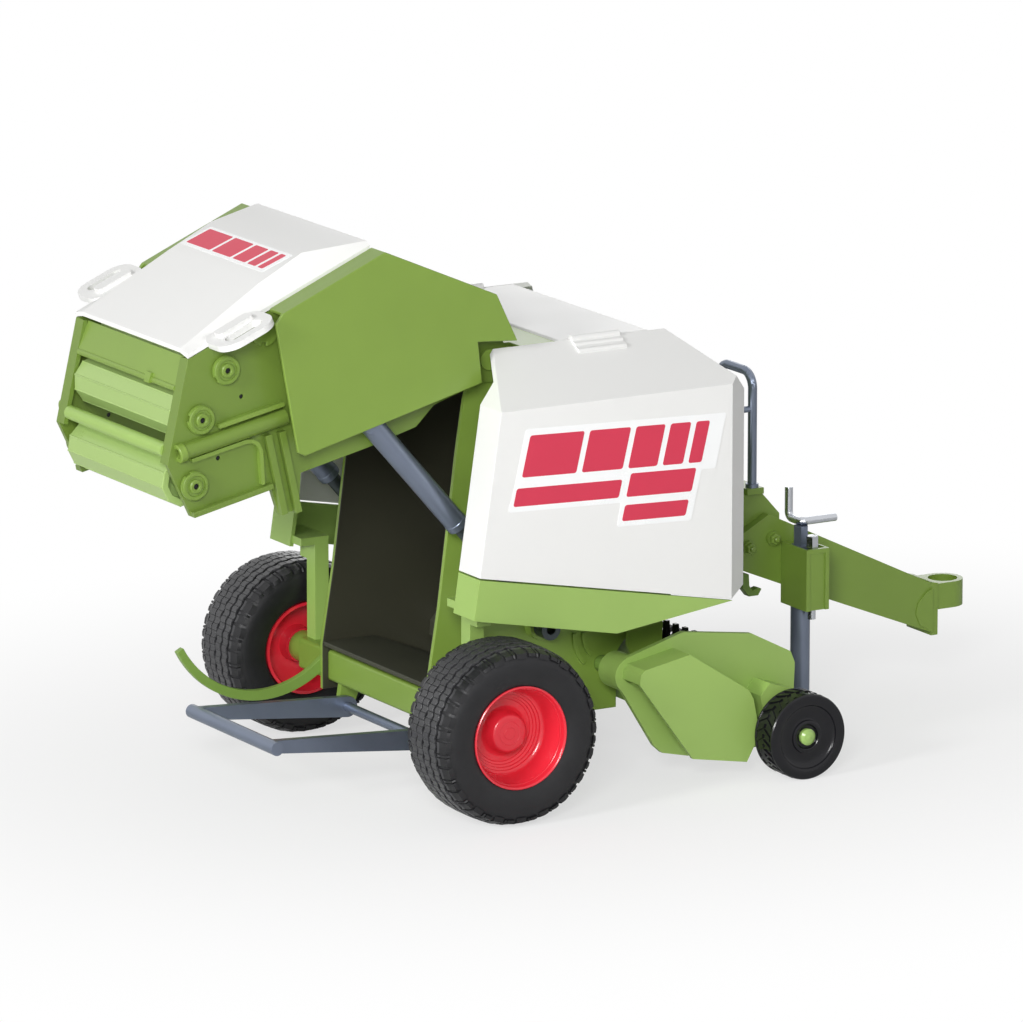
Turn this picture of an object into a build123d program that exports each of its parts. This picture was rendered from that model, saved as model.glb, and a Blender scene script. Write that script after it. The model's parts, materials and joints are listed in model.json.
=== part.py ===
"""A toy round baler at 1:16, parked on its wheels and jack with the tailgate swung open.

Lengths are millimetres and +Z is up. The baler faces +X, towards its hitch, and its left side is +Y.
The origin is on the floor under the middle of the whole toy. Every x below counts from the main axle.
"""

from build123d import *

import os
from math import atan2, cos, degrees, hypot, radians, sin, sqrt

os.makedirs("parts", exist_ok=True)

# Overall places
HITCH_FRONT_X = 202.0      # front of the towing eye
TAIL_X = -95.4             # rear edge of the open tailgate
AXLE_X = -(HITCH_FRONT_X + TAIL_X) / 2

# Clearances
RUN = 0.1                  # a shaft in its hole, on the radius
SLIP = 0.3                 # beside pieces that swing or turn

# Main wheels
TYRE_R = 27.1
TYRE_W = 23.6
WHEEL_Y = 63.5             # middle of each tyre
RIM_R = 15.6
RIM_SEAT_R = 14.4
RIM_WALL = 1.3
HUB_R = 5.8
HUB_OUT = 4.6              # hub face, outwards from the middle of the tyre
HUB_IN = 6.0
AXLE_R = 2.5
TYRE_SIDES = 60            # narrow flats round a tyre, a vertex at the floor
GAUGE_SIDES = 40

# Bale chamber, fixed front half
CHAMBER_X = 8.0
CHAMBER_Z = 80.0
CHAMBER_W = 62.0           # between the fixed walls
WALL = 1.7
ROLLER_R = 7.4
ROLLER_PITCH_R = 54.0      # circle of the roller axes
SHAFT_R = 2.2
ROOF_TOP = 136.2
ROOF_T = 1.5
ROOF_HALF = 39.4

# Tailgate, drawn open
PIVOT_X = 12.0
PIVOT_Z = 132.0
PIVOT_R = 2.2
EAR_R = 7.0
GATE_SWING = 56.0          # degrees from closed to open
GATE_T = 1.8
SHIELD_Y = 43.6            # outer face of each side shield
SHIELD_T = 1.2
HOOD_HALF = 35.0
HOOD_T = 1.3

# Tailgate cylinders
STRUT_Y = 38.7
STRUT_R = 3.4
STRUT_TUBE = 46.5          # upper pin to the open end of the tube
ROD_R = 2.2
UPPER_PIN = (-31.0, 119.0)
LOWER_PIN = (30.0, 49.0)
PIN_R = 1.4
ROD_EYE_HALF = 2.4

# Side flaps and skirts
FLAP_HINGE_Y = 40.0
FLAP_Y = 62.0              # outer face
FLAP_T = 1.3
RETURN_Y = 49.6            # free edge of the rear return wall
FLAP_SEAM = 0.5            # gap between a flap and its skirt

# Pick-up
PICKUP_X = 52.4
PICKUP_Z = 34.2
PICKUP_LUG_R = 4.2         # lug on each fixed wall, round the pick-up's tube
PICKUP_TUBE_R = 2.4
REEL_X = 82.0
REEL_Z = 27.6
REEL_R = 14.0              # over the tines
REEL_CORE_R = 6.5
PICKUP_HALF = 50.0         # outer face of the inner side plates
PICKUP_T = 1.8
COVER_Y = 60.0             # outer face of the side covers
GAUGE_R = 13.2
GAUGE_W = 10.0
GAUGE_X = 102.1
GAUGE_Y = 65.5             # middle of each gauge wheel
GAUGE_PIN_R = 1.6

# Bale ramp
RAMP_X = -4.0
RAMP_Z = 16.0
RAMP_BAR_X = -55.0
RAMP_BAR_Z = 20.3
RAMP_HALF = 26.6
RAMP_BAR_R = 2.1
RAMP_ARM_Y = 23.0
RAMP_ARM_W = 2.4
RAMP_ROD_R = 1.5

# Drawbar, jack and guard hoop
BEAM_REAR_HALF = 12.0
BEAM_FRONT_HALF = 7.0
BRACKET_HALF = 9.0
EYE_X = 195.6
EYE_R = 4.6                # bore of the towing eye
EYE_WALL = 1.7
EYE_TOP = 36.6
EYE_H = 8.2
JACK_X = 132.8
JACK_Y = -16.8
JACK_R = 3.0
JACK_TOP = 61.0
JACK_HEAD = 2.9
FOOT_R = 5.5
HOOP_X = 119.7
HOOP_HALF = 9.5
HOOP_R = 1.4
HOOP_BASE = 76.0
HOOP_TOP = 111.6
HOOP_BEND = 5.0
HOOP_STAY_Z = 100.4        # stays from the hoop back to the front panel


def side(y):
    """Plane across the toy at y: its x runs forward from the axle, its y runs up, and it faces right."""
    return Plane(origin=(AXLE_X, y, 0), x_dir=(1, 0, 0), z_dir=(0, -1, 0))


def cross(x):
    """Plane x ahead of the axle, seen from the front: its x runs to the left and its y runs up."""
    return Plane(origin=(AXLE_X + x, 0, 0), x_dir=(0, 1, 0), z_dir=(1, 0, 0))


def level(z):
    """Level plane at height z, its x counted from the axle."""
    return Plane(origin=(AXLE_X, 0, z))


def spin(x, y, z):
    """Plane through a shaft at (x, z): its x runs out along the shaft to the right, its y is the radius."""
    return Plane(origin=(AXLE_X + x, y, z), x_dir=(0, -1, 0), z_dir=(-1, 0, 0))


def shaft_axis(x, z):
    """The line across the toy at (x, z)."""
    return Axis((AXLE_X + x, 0, z), (0, 1, 0))


def write(piece, name):
    """Label one finished piece and write its file."""
    piece.label = name
    export_step(piece, f"parts/{name}.step")


def write_both(piece, name):
    """Write a right-hand piece and its mirror image on the left."""
    write(piece, f"{name}_right")
    with BuildPart() as other:
        mirror(piece, about=Plane.XZ)
    write(other.part, f"{name}_left")


def on_circle(centre_x, centre_z, radius, angle):
    """Point at an angle, in degrees up from forward, on a circle seen from the right."""
    return centre_x + radius * cos(radians(angle)), centre_z + radius * sin(radians(angle))


def flat_sided(rings, sides, x, y, z):
    """Body of narrow flats round a shaft at (x, z): rings of distance out to the right from y, and radius."""
    with BuildPart() as body:
        for out, radius in rings:
            with BuildSketch(side(y - out)):
                with Locations((x, z)):
                    RegularPolygon(radius, sides)
        loft(ruled=True)
    return body.part


# Main wheels: a soft tyre on a dished rim with a round hub
half_tyre = TYRE_W / 2
barrel = half_tyre - 2.5
TYRE_PROFILE = [    # distance out from the middle, radius
    (barrel, RIM_R), (half_tyre, TYRE_R - 6.3), (half_tyre - 0.4, TYRE_R - 2.9), (half_tyre - 1.5, TYRE_R - 0.9),
    (half_tyre - 4.4, TYRE_R),
]
with BuildPart() as tyre:
    inner_side = [(-out, radius) for out, radius in TYRE_PROFILE]
    add(flat_sided(inner_side + TYRE_PROFILE[::-1], TYRE_SIDES, 0, -WHEEL_Y, TYRE_R))
    with BuildSketch(side(-WHEEL_Y + half_tyre)):
        with Locations((0, TYRE_R)):
            RegularPolygon(RIM_SEAT_R + RUN, TYRE_SIDES, major_radius=False)
    extrude(amount=TYRE_W, mode=Mode.SUBTRACT)
write_both(tyre.part, "tyre")

with BuildPart() as rim:
    with BuildSketch(spin(0, -WHEEL_Y, TYRE_R)):
        inner_r = RIM_SEAT_R - RIM_WALL
        with BuildLine():
            Polyline(
                (-HUB_IN, AXLE_R + RUN), (-HUB_IN, HUB_R), (-2, HUB_R), (-3.6, inner_r), (-barrel - 0.8, inner_r),
                (-barrel - 0.8, RIM_SEAT_R), (barrel, RIM_SEAT_R), (barrel + 1.4, RIM_R), (barrel + 2.2, RIM_R - 0.3),
                (barrel + 1.5, inner_r + 0.5), (2.2, inner_r - 0.7), (0.7, HUB_R + 3.6), (0.1, HUB_R + 1.6), (0.7, HUB_R),
                (HUB_OUT - 0.5, HUB_R - 0.3), (HUB_OUT, HUB_R - 0.9), (HUB_OUT, 0), (HUB_OUT - 1.6, 0),
                (HUB_OUT - 1.6, AXLE_R + RUN), close=True,
            )
        make_face()
    revolve(axis=shaft_axis(0, TYRE_R))
write_both(rim.part, "rim")

# Axle: a steel pin through a moulded beam, with lugs below for the bale ramp's rod
axle_half = WHEEL_Y + HUB_OUT - 1.6 - SLIP
with BuildPart() as axle_pin:
    with BuildSketch(side(-axle_half)):
        with Locations((0, TYRE_R)):
            Circle(AXLE_R)
    extrude(amount=-2 * axle_half)
write(axle_pin.part, "axle_pin")

BEAM_END_Y = WHEEL_Y - HUB_IN - SLIP
AXLE_BEAM = (11.0, 9.6)    # length along x, height
LUG_W = 2.2
lug_y = RAMP_ARM_Y + RAMP_ARM_W / 2 + SLIP
with BuildPart() as axle_beam:
    with BuildSketch(side(-49.5)):
        with Locations((0, TYRE_R)):
            RectangleRounded(AXLE_BEAM[0], AXLE_BEAM[1], 1.2)
    extrude(amount=-99)
    for hand in (-1, 1):
        with BuildSketch(side(hand * lug_y)):
            with BuildLine():
                Polyline((-4, TYRE_R), (4, TYRE_R), (RAMP_X + 3, RAMP_Z - 1.8), (RAMP_X - 2, RAMP_Z - 1.8), close=True)
            make_face()
            with Locations((RAMP_X, RAMP_Z)):
                Circle(RAMP_ROD_R + 1.5)
        extrude(amount=-hand * LUG_W)
    with BuildSketch(side(-BEAM_END_Y)):
        with Locations((0, TYRE_R)):
            Circle(HUB_R - 1)
    extrude(amount=-2 * BEAM_END_Y)
    with BuildSketch(side(-BEAM_END_Y)):
        with Locations((0, TYRE_R)):
            Circle(AXLE_R + RUN / 2)
        with Locations((RAMP_X, RAMP_Z)):
            Circle(RAMP_ROD_R + RUN)
    extrude(amount=-2 * BEAM_END_Y, mode=Mode.SUBTRACT)
write(axle_beam.part, "axle_beam")


def band(points, thickness):
    """Closed outline of a bent sheet: its points, and back again a thickness to their left, mitred."""
    normals = []
    for (x0, z0), (x1, z1) in zip(points, points[1:]):
        length = hypot(x1 - x0, z1 - z0)
        normals.append((-(z1 - z0) / length, (x1 - x0) / length))
    inner = []
    for index, (x, z) in enumerate(points):
        before = normals[max(index - 1, 0)]
        after = normals[min(index, len(normals) - 1)]
        mitre = thickness / (1 + before[0] * after[0] + before[1] * after[1])
        inner.append((x + (before[0] + after[0]) * mitre, z + (before[1] + after[1]) * mitre))
    return points + inner[::-1]


def swung(point, angle):
    """Where a tailgate point goes when the gate turns by an angle, in degrees, about its pivot."""
    dx, dz = point[0] - PIVOT_X, point[1] - PIVOT_Z
    turn = radians(angle)
    return PIVOT_X + dx * cos(turn) + dz * sin(turn), PIVOT_Z - dx * sin(turn) + dz * cos(turn)


# Fixed chamber walls, from the roof down to the axle beam, with the tailgate's pivot stub
wall_in = CHAMBER_W / 2
wall_out = wall_in + WALL
wall_top = ROOF_TOP - ROOF_T
gate_in = wall_out + SLIP
gate_out = gate_in + GATE_T
BROW_X = 62.0
BROW_Z = 117.0
WALL_FRONT_X = 85.6
WALL_OUTLINE = [
    (9, wall_top), (BROW_X, wall_top), (WALL_FRONT_X, BROW_Z), (WALL_FRONT_X, 62), (76, 51.5), (68, 46), (60, 40),
    (57.6, 37), (57.6, 20), (-7.5, 20), (-7.5, 34), (-3.5, 58), (2.5, 104), (5, 120),
]
WALL_BOSSES = [(44, 56, 4.0, 1.2), (62, 64, 4.0, 1.2), (70, 96, 5.0, 1.2)]    # x, z, radius, height
PIVOT_RIBS = [12.6, 9.4]    # outer radius of each curved rib behind the pick-up's pivot drum
RIB_X, RIB_Z = PICKUP_X + 2.2, PICKUP_Z + 9.5
RIB_W, RIB_H = 1.2, 1.0
RIB_ANGLES = (175, 200, 225)
with BuildPart() as chamber_wall:
    with BuildSketch(side(-wall_in)):
        with BuildLine():
            Polyline(*WALL_OUTLINE, close=True)
        make_face()
        with Locations((0, TYRE_R)):
            RectangleRounded(AXLE_BEAM[0] + 2 * RUN, AXLE_BEAM[1] + 2 * RUN, 1.3, mode=Mode.SUBTRACT)
        with Locations((PICKUP_X, PICKUP_Z)):
            Circle(PICKUP_LUG_R)
            Circle(PICKUP_TUBE_R + RUN, mode=Mode.SUBTRACT)
    extrude(amount=WALL)
    with BuildSketch(side(-wall_out)):
        with Locations((PIVOT_X, PIVOT_Z)):
            Circle(PIVOT_R)
    extrude(amount=SLIP + GATE_T + SLIP)
    with BuildSketch(side(-gate_out - SLIP)):
        with Locations((PIVOT_X, PIVOT_Z)):
            Circle(PIVOT_R + 0.9)
    extrude(amount=0.9)
    with BuildSketch(side(-wall_out)):
        with Locations(LOWER_PIN):
            Circle(4.2)
    extrude(amount=STRUT_Y - ROD_EYE_HALF - SLIP - wall_out)
    for boss_x, boss_z, boss_r, boss_h in WALL_BOSSES:
        with BuildSketch(side(-wall_out)):
            with Locations((boss_x, boss_z)):
                Circle(boss_r)
        extrude(amount=boss_h)
    for rib_r in PIVOT_RIBS:
        with BuildSketch(side(-wall_out)):
            with BuildLine():
                outer = [on_circle(RIB_X, RIB_Z, rib_r, angle) for angle in RIB_ANGLES]
                inner = [on_circle(RIB_X, RIB_Z, rib_r - RIB_W, angle) for angle in RIB_ANGLES]
                ThreePointArc(*outer)
                Line(outer[2], inner[2])
                ThreePointArc(*inner)
                Line(inner[0], outer[0])
            make_face()
        extrude(amount=RIB_H)
write_both(chamber_wall.part, "chamber_wall")

# Chamber floor: a bent sheet between the walls, over the axle
FLOOR_LINE = [(-7.2, 33.4), (10, 33.4), (26, 27), (37, 20.8)]
with BuildPart() as chamber_floor:
    with BuildSketch(side(-wall_in)):
        with BuildLine():
            Polyline(*band(FLOOR_LINE, 1.4), close=True)
        make_face()
    extrude(amount=-CHAMBER_W)
write(chamber_floor.part, "chamber_floor")

# Roof, notched for the flaps' knuckles, and the green plate behind it
ROOF_REAR_X, ROOF_FRONT_X = 33.0, 64.6
KNUCKLE_X = (37.0, 53.6)
KNUCKLE_R = 1.3
with BuildPart() as roof:
    with BuildSketch(level(wall_top)):
        with Locations(((ROOF_REAR_X + ROOF_FRONT_X) / 2, 0)):
            Rectangle(ROOF_FRONT_X - ROOF_REAR_X, 2 * ROOF_HALF)
        for hand in (-1, 1):
            with Locations(((KNUCKLE_X[0] + KNUCKLE_X[1]) / 2, hand * ROOF_HALF)):
                Rectangle(KNUCKLE_X[1] - KNUCKLE_X[0] + 2 * SLIP, 2 * (ROOF_HALF - FLAP_HINGE_Y + KNUCKLE_R + SLIP), mode=Mode.SUBTRACT)
    extrude(amount=ROOF_T)
    chamfer(roof.edges().filter_by(Axis.Y).group_by(Axis.Z)[-1], 0.5)
write(roof.part, "roof")

TOP_PLATE_T = 1.1
WIDE_FROM_X = PIVOT_X + EAR_R + 1.5
with BuildPart() as top_plate:
    with BuildSketch(level(wall_top)):
        with Locations(((WIDE_FROM_X + ROOF_REAR_X) / 2, 0)):
            Rectangle(ROOF_REAR_X - WIDE_FROM_X, 2 * ROOF_HALF)
        with Locations(((9 + WIDE_FROM_X) / 2, 0)):
            Rectangle(WIDE_FROM_X - 9, 2 * wall_out)
    extrude(amount=TOP_PLATE_T)
write(top_plate.part, "top_plate")

# Front panel: a bent sheet over the walls' front edges
panel_end = ROOF_FRONT_X + SLIP
brow_top = BROW_Z + (wall_top - BROW_Z) * (WALL_FRONT_X - panel_end) / (WALL_FRONT_X - BROW_X)
with BuildPart() as front_panel:
    with BuildSketch(side(-ROOF_HALF)):
        with BuildLine():
            Polyline(*band([(WALL_FRONT_X, 58), (WALL_FRONT_X, BROW_Z), (panel_end, brow_top)], -1.4), close=True)
        make_face()
    extrude(amount=-2 * ROOF_HALF)
write(front_panel.part, "front_panel")

# Chamber rollers, moulded fast between the fixed walls
FRONT_ANGLES = [-58, -35, -12, 11, 33, 55]
with BuildPart() as front_rollers:
    for angle in FRONT_ANGLES:
        with BuildSketch(side(-wall_in)):
            with Locations(on_circle(CHAMBER_X, CHAMBER_Z, ROLLER_PITCH_R, angle)):
                RegularPolygon(ROLLER_R, 10, rotation=angle)
        extrude(amount=-CHAMBER_W)
write(front_rollers.part, "front_rollers")

# Side flap: a faceted shell hung at the roof's edge
HINGE_Z = ROOF_TOP
CREASE_Z = 122.2
FLAP_SIDE = [(-6.6, 73.3), (0.7, 122.3), (10.6, HINGE_Z), (69.5, HINGE_Z), (89, 118.4), (89, 58.4), (80, 56.7)]
FLAP_WALLS = [1, 1, 1, 1, 1, -4, -4]    # share of the thickness each edge moves in, the two lower ones open
LUG_DROP = 5.2             # how far the hinge lug runs down the flap's top slope
flap_drop = (HINGE_Z - CREASE_Z) / (FLAP_Y - FLAP_HINGE_Y)


def inset(points, moves):
    """Outline with each edge moved to its right by its own distance."""
    lines = []
    for (x0, z0), (x1, z1), move in zip(points, points[1:] + points[:1], moves):
        length = hypot(x1 - x0, z1 - z0)
        nx, nz = (z1 - z0) / length, -(x1 - x0) / length
        lines.append((nx, nz, nx * x0 + nz * z0 + move))
    corners = []
    for (a0, b0, c0), (a1, b1, c1) in zip(lines[-1:] + lines[:-1], lines):
        det = a0 * b1 - a1 * b0
        corners.append(((c0 * b1 - c1 * b0) / det, (a0 * c1 - a1 * c0) / det))
    return corners


def flap_body(outline, reach, skin):
    """Block over an outline, out to a reach, with its top slope and front corner cut a skin further in."""
    with BuildPart() as body:
        with BuildSketch(side(-FLAP_HINGE_Y)):
            with BuildLine():
                Polyline(*outline, close=True)
            make_face()
        extrude(amount=reach - FLAP_HINGE_Y)
        slope = Plane(origin=(AXLE_X, -FLAP_HINGE_Y, HINGE_Z), x_dir=(1, 0, 0), z_dir=(0, -flap_drop, 1))
        split(bisect_by=slope.offset(-skin), keep=Keep.BOTTOM)
        corner = Plane(origin=(AXLE_X + 80, -FLAP_Y, 0), x_dir=(0, 0, 1), z_dir=(8, -9, 0))
        split(bisect_by=corner.offset(-skin), keep=Keep.BOTTOM)
    return body.part


with BuildPart() as flap:
    add(flap_body(FLAP_SIDE, FLAP_Y, 0))
    add(flap_body(inset(FLAP_SIDE, [share * FLAP_T for share in FLAP_WALLS]), FLAP_Y - FLAP_T, FLAP_T), mode=Mode.SUBTRACT)
    under = HINGE_Z - FLAP_T * hypot(1, flap_drop)
    with BuildSketch(cross(-20)):
        with BuildLine():
            Polyline(
                (1 - FLAP_HINGE_Y, under + flap_drop), (-RETURN_Y, under - flap_drop * (RETURN_Y - FLAP_HINGE_Y)),
                (-RETURN_Y, 40), (1 - FLAP_HINGE_Y, 40), close=True,
            )
        make_face()
    extrude(amount=120, mode=Mode.SUBTRACT)
    slope_across = Plane(origin=(AXLE_X + KNUCKLE_X[0], -FLAP_HINGE_Y, HINGE_Z), x_dir=(0, -1, -flap_drop), z_dir=(1, 0, 0))
    with BuildSketch(slope_across):
        Circle(KNUCKLE_R)
        with Locations((LUG_DROP / 2, 0)):
            Rectangle(LUG_DROP, 1.0)
        with Locations((LUG_DROP / 2, 0), (LUG_DROP, 0)):
            Circle(0.9)
    extrude(amount=KNUCKLE_X[1] - KNUCKLE_X[0])
write_both(flap.part, "flap")

# Skirt: the fixed lower cover, on a post that stands on the axle beam
SKIRT_SIDE = [(-6.7, 73.3 - FLAP_SEAM), (-8.5, 60.7), (40.3, 51), (80.3, 56.7 - FLAP_SEAM)]
POST_X = (-2.7, 2.0)
beam_top = TYRE_R + AXLE_BEAM[1] / 2
with BuildPart() as skirt:
    with BuildSketch(side(-FLAP_Y + FLAP_T)):
        with BuildLine():
            Polyline(*SKIRT_SIDE, close=True)
        make_face()
    extrude(amount=FLAP_T)
    with BuildSketch(side(-RETURN_Y)):
        with BuildLine():
            Polyline(*band([SKIRT_SIDE[0], SKIRT_SIDE[1]], FLAP_T), close=True)
        make_face()
    extrude(amount=FLAP_Y - RETURN_Y)
    with BuildSketch(side(-44.2)):
        with BuildLine():
            Polyline((POST_X[0], beam_top), (POST_X[1], beam_top), (POST_X[1], 64), (POST_X[0], 64), close=True)
        make_face()
    extrude(amount=5.2)
    with BuildSketch(side(-44.2)):
        with BuildLine():
            Polyline((POST_X[0], 56.4), (POST_X[1], 56.4), (POST_X[1], 62), (POST_X[0], 62), close=True)
        make_face()
    extrude(amount=9.3)
    with BuildSketch(side(-44.2)):
        with BuildLine():
            Polyline((-7.5, 61.6), (POST_X[1], 61.6), (POST_X[1], 64), (-7.5, 64), close=True)
        make_face()
    extrude(amount=FLAP_Y - 44.2 - FLAP_T / 2)
    with BuildSketch(side(-wall_out)):
        with Locations((64, 55.6)):
            Rectangle(4, 3)
    extrude(amount=FLAP_Y - FLAP_T / 2 - wall_out)
write_both(skirt.part, "skirt")

# Tailgate side frames, drawn open: plate, rear flange, roller holes, tube, ribs and lip
D3, D2, D1 = (-87.0, 105.3), (-84.7, 124.6), (-76.3, 138.4)
open_centre = swung((CHAMBER_X, CHAMBER_Z), GATE_SWING)
D0 = on_circle(*open_centre, ROLLER_PITCH_R - 2, 125.5)
D00 = on_circle(*open_centre, ROLLER_PITCH_R - 4.4, 105)
GATE_ROLLERS = [D3, D2, D1, D0, D00]
POST_TOP, POST_KINK, POST_LOW = (-88.2, 142.7), (-95.2, 112.0), (-87.6, 96.0)
GATE_OUTLINE = [
    POST_TOP, (-28, 168.4), (8, 151.3), (16, 137.5), (17.5, 128.6), (10, 125.4), (-6.4, 120.2), (-12.5, 114.3),
    (-28.4, 110), (-51.2, 104.9), (-52, 93.9), (-58.6, 93.4), (-61.3, 101.7), POST_LOW, POST_KINK,
]
FLANGE_W = 4.7
TUBE_LINE = [(-92.3, 115.3), (-57, 122.6)]
tube_tilt = degrees(atan2(TUBE_LINE[1][1] - TUBE_LINE[0][1], TUBE_LINE[1][0] - TUBE_LINE[0][0]))
tube_len = hypot(TUBE_LINE[1][0] - TUBE_LINE[0][0], TUBE_LINE[1][1] - TUBE_LINE[0][1])
with BuildPart() as gate_side:
    with BuildSketch(side(-gate_in)):
        with BuildLine():
            Polyline(*GATE_OUTLINE, close=True)
        make_face()
        with Locations((PIVOT_X, PIVOT_Z)):
            Circle(EAR_R)
            Circle(PIVOT_R + RUN, mode=Mode.SUBTRACT)
        with Locations(*GATE_ROLLERS):
            Circle(SHAFT_R + RUN, mode=Mode.SUBTRACT)
        with Locations((-70.8, 129.8), (-78.6, 112.4)):
            Circle(0.7, mode=Mode.SUBTRACT)
    extrude(amount=GATE_T)
    with BuildSketch(side(-gate_out + FLANGE_W)):
        with BuildLine():
            Polyline(*band([POST_TOP, POST_KINK], 1.4), close=True)
        make_face()
    extrude(amount=FLANGE_W - GATE_T)
    with BuildSketch(side(-gate_out)):
        with BuildLine():
            Polyline(*band([POST_LOW, (-61.3, 101.7)], 1.6), close=True)
        make_face()
        with BuildLine():
            Polyline(*band([(-58.6, 93.4), (-64.0, 117.6)], -2.0), close=True)
        make_face()
        with BuildLine():
            Polyline(*band([(-52, 93.9), (-57.4, 118.6)], 2.0), close=True)
        make_face()
    extrude(amount=2.2)
    tube_plane = Plane(origin=(AXLE_X + TUBE_LINE[0][0], -gate_out - 1.0, TUBE_LINE[0][1]),
                       x_dir=(0, -1, 0), z_dir=(cos(radians(tube_tilt)), 0, sin(radians(tube_tilt))))
    with BuildSketch(tube_plane):
        Circle(2.4)
    extrude(amount=tube_len)
    with BuildSketch(tube_plane):
        Circle(1.5)
    extrude(amount=8, mode=Mode.SUBTRACT)
    with BuildSketch(side(-gate_out)):
        with Locations(UPPER_PIN):
            Circle(PIN_R)
    extrude(amount=SHIELD_Y - SHIELD_T - gate_out)
write_both(gate_side.part, "gate_side")

# Tailgate side shields: a flat plate with a flange turned in to the side frame along its top
SHIELD_OUTLINE = [
    (-64.0, 151.9), (-61.6, 154.9), (-27.6, 169.6), (10, 153.2), (17, 138.6), (3.6, 139.6), (5.0, 127.2),
    (-54.6, 111.9), (-56.9, 113.2),
]
with BuildPart() as shield:
    with BuildSketch(side(-SHIELD_Y + SHIELD_T)):
        with BuildLine():
            Polyline(*SHIELD_OUTLINE, close=True)
        make_face()
    extrude(amount=SHIELD_T)
    with BuildSketch(side(-HOOD_HALF - RUN)):
        with BuildLine():
            Polyline(*band(SHIELD_OUTLINE[1:4], -SHIELD_T), close=True)
        make_face()
    extrude(amount=SHIELD_Y - HOOD_HALF - RUN)
write_both(shield.part, "shield")

# Hood: a faceted shell over the open tailgate, with a lamp bracket on each side
HOOD_SECTIONS = [    # x, top height, width of the side slope, edge height
    (-88.4, 145.2, 4.5, 144.2),
    (-61.0, 161.2, 7.0, 156.0),
    (-46.5, 168.6, 7.5, 162.3),
    (-28.0, 171.3, 2.0, 170.2),
]
with BuildPart() as hood:
    for x, top, slope_w, edge in HOOD_SECTIONS:
        half = HOOD_HALF - slope_w
        with BuildSketch(cross(x)):
            with BuildLine():
                Polyline(
                    (-HOOD_HALF, edge), (-half, top), (half, top), (HOOD_HALF, edge), (HOOD_HALF, edge - HOOD_T),
                    (half - 0.3, top - HOOD_T), (-half + 0.3, top - HOOD_T), (-HOOD_HALF, edge - HOOD_T), close=True,
                )
            make_face()
    loft(ruled=True)
    rake = degrees(atan2(HOOD_SECTIONS[3][3] - HOOD_SECTIONS[0][3], HOOD_SECTIONS[3][0] - HOOD_SECTIONS[0][0]))
    for hand in (-1, 1):
        bracket_plane = Plane(
            origin=(AXLE_X - 73.5, hand * (HOOD_HALF - 1.6), 149.4),
            x_dir=(cos(radians(rake)), 0, sin(radians(rake))), z_dir=(-sin(radians(rake)), 0, cos(radians(rake))),
        )
        with BuildSketch(bracket_plane):
            with Locations((0, hand * 6.5)):
                RectangleRounded(19, 16.6, 6)
            with Locations((0, hand * 9.2)):
                SlotOverall(12.5, 4.6, mode=Mode.SUBTRACT)
        extrude(amount=1.9)
        with BuildSketch(bracket_plane.offset(1.9)):
            with Locations((0, hand * 3.9)):
                RectangleRounded(12, 4.4, 1)
        extrude(amount=1.3)
write(hood.part, "hood")

# Panels that join the tailgate's sides: front of the hood, rear face and crossbar
with BuildPart() as gate_top_panel:
    with BuildSketch(side(-gate_in)):
        with BuildLine():
            Polyline(*band([(-27.6, 168.2), (7.6, 151.0)], -1.3), close=True)
        make_face()
    extrude(amount=-2 * gate_in)
write(gate_top_panel.part, "gate_top_panel")

flange_in = gate_out - FLANGE_W
with BuildPart() as gate_rear_panel:
    with BuildSketch(side(-flange_in)):
        with BuildLine():
            Polyline(*band([(-86.6, 142.4), (-90.0, 134.4)], 1.2), close=True)
        make_face()
        with Locations((-89.6, 133.4)):
            Circle(1.0)
    extrude(amount=-2 * flange_in)
write(gate_rear_panel.part, "gate_rear_panel")

CROSSBAR_R = 2.1
with BuildPart() as gate_crossbar:
    with BuildSketch(side(-flange_in)):
        with Locations((POST_KINK[0] + CROSSBAR_R, POST_KINK[1] + 3.4)):
            Circle(CROSSBAR_R)
    extrude(amount=-2 * flange_in)
write(gate_crossbar.part, "gate_crossbar")

# Tailgate rollers: drums with a shaft through each side frame and a notched disc outside it
DRUM_HALF = flange_in - 0.5
DRUM_SIDES = 10
DRUM_WALL = 2.2
DISC_R = 4.4
for index, (roller_x, roller_z) in enumerate(GATE_ROLLERS, 1):
    with BuildPart() as roller:
        with BuildSketch(side(-DRUM_HALF)):
            with Locations((roller_x, roller_z)):
                RegularPolygon(ROLLER_R, DRUM_SIDES, rotation=9 * index)
                RegularPolygon(ROLLER_R - DRUM_WALL, DRUM_SIDES, rotation=9 * index, mode=Mode.SUBTRACT)
        extrude(amount=-2 * DRUM_HALF)
        with BuildSketch(side(-DRUM_HALF + 4)):
            with Locations((roller_x, roller_z)):
                RegularPolygon(ROLLER_R - DRUM_WALL / 2, DRUM_SIDES, rotation=9 * index)
        extrude(amount=-2 * (DRUM_HALF - 4))
        with BuildSketch(side(-gate_out - SLIP)):
            with Locations((roller_x, roller_z)):
                Circle(SHAFT_R)
        extrude(amount=-2 * (gate_out + SLIP))
        for hand in (-1, 1):
            with BuildSketch(side(hand * (gate_out + SLIP))):
                with Locations((roller_x, roller_z)):
                    Circle(DISC_R)
                    with PolarLocations(DISC_R, 2, start_angle=75 + 47 * index):
                        Rectangle(2.4, 1.6, mode=Mode.SUBTRACT)
            extrude(amount=-hand * 1.3)
    write(roller.part, f"gate_roller_{index}")

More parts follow.
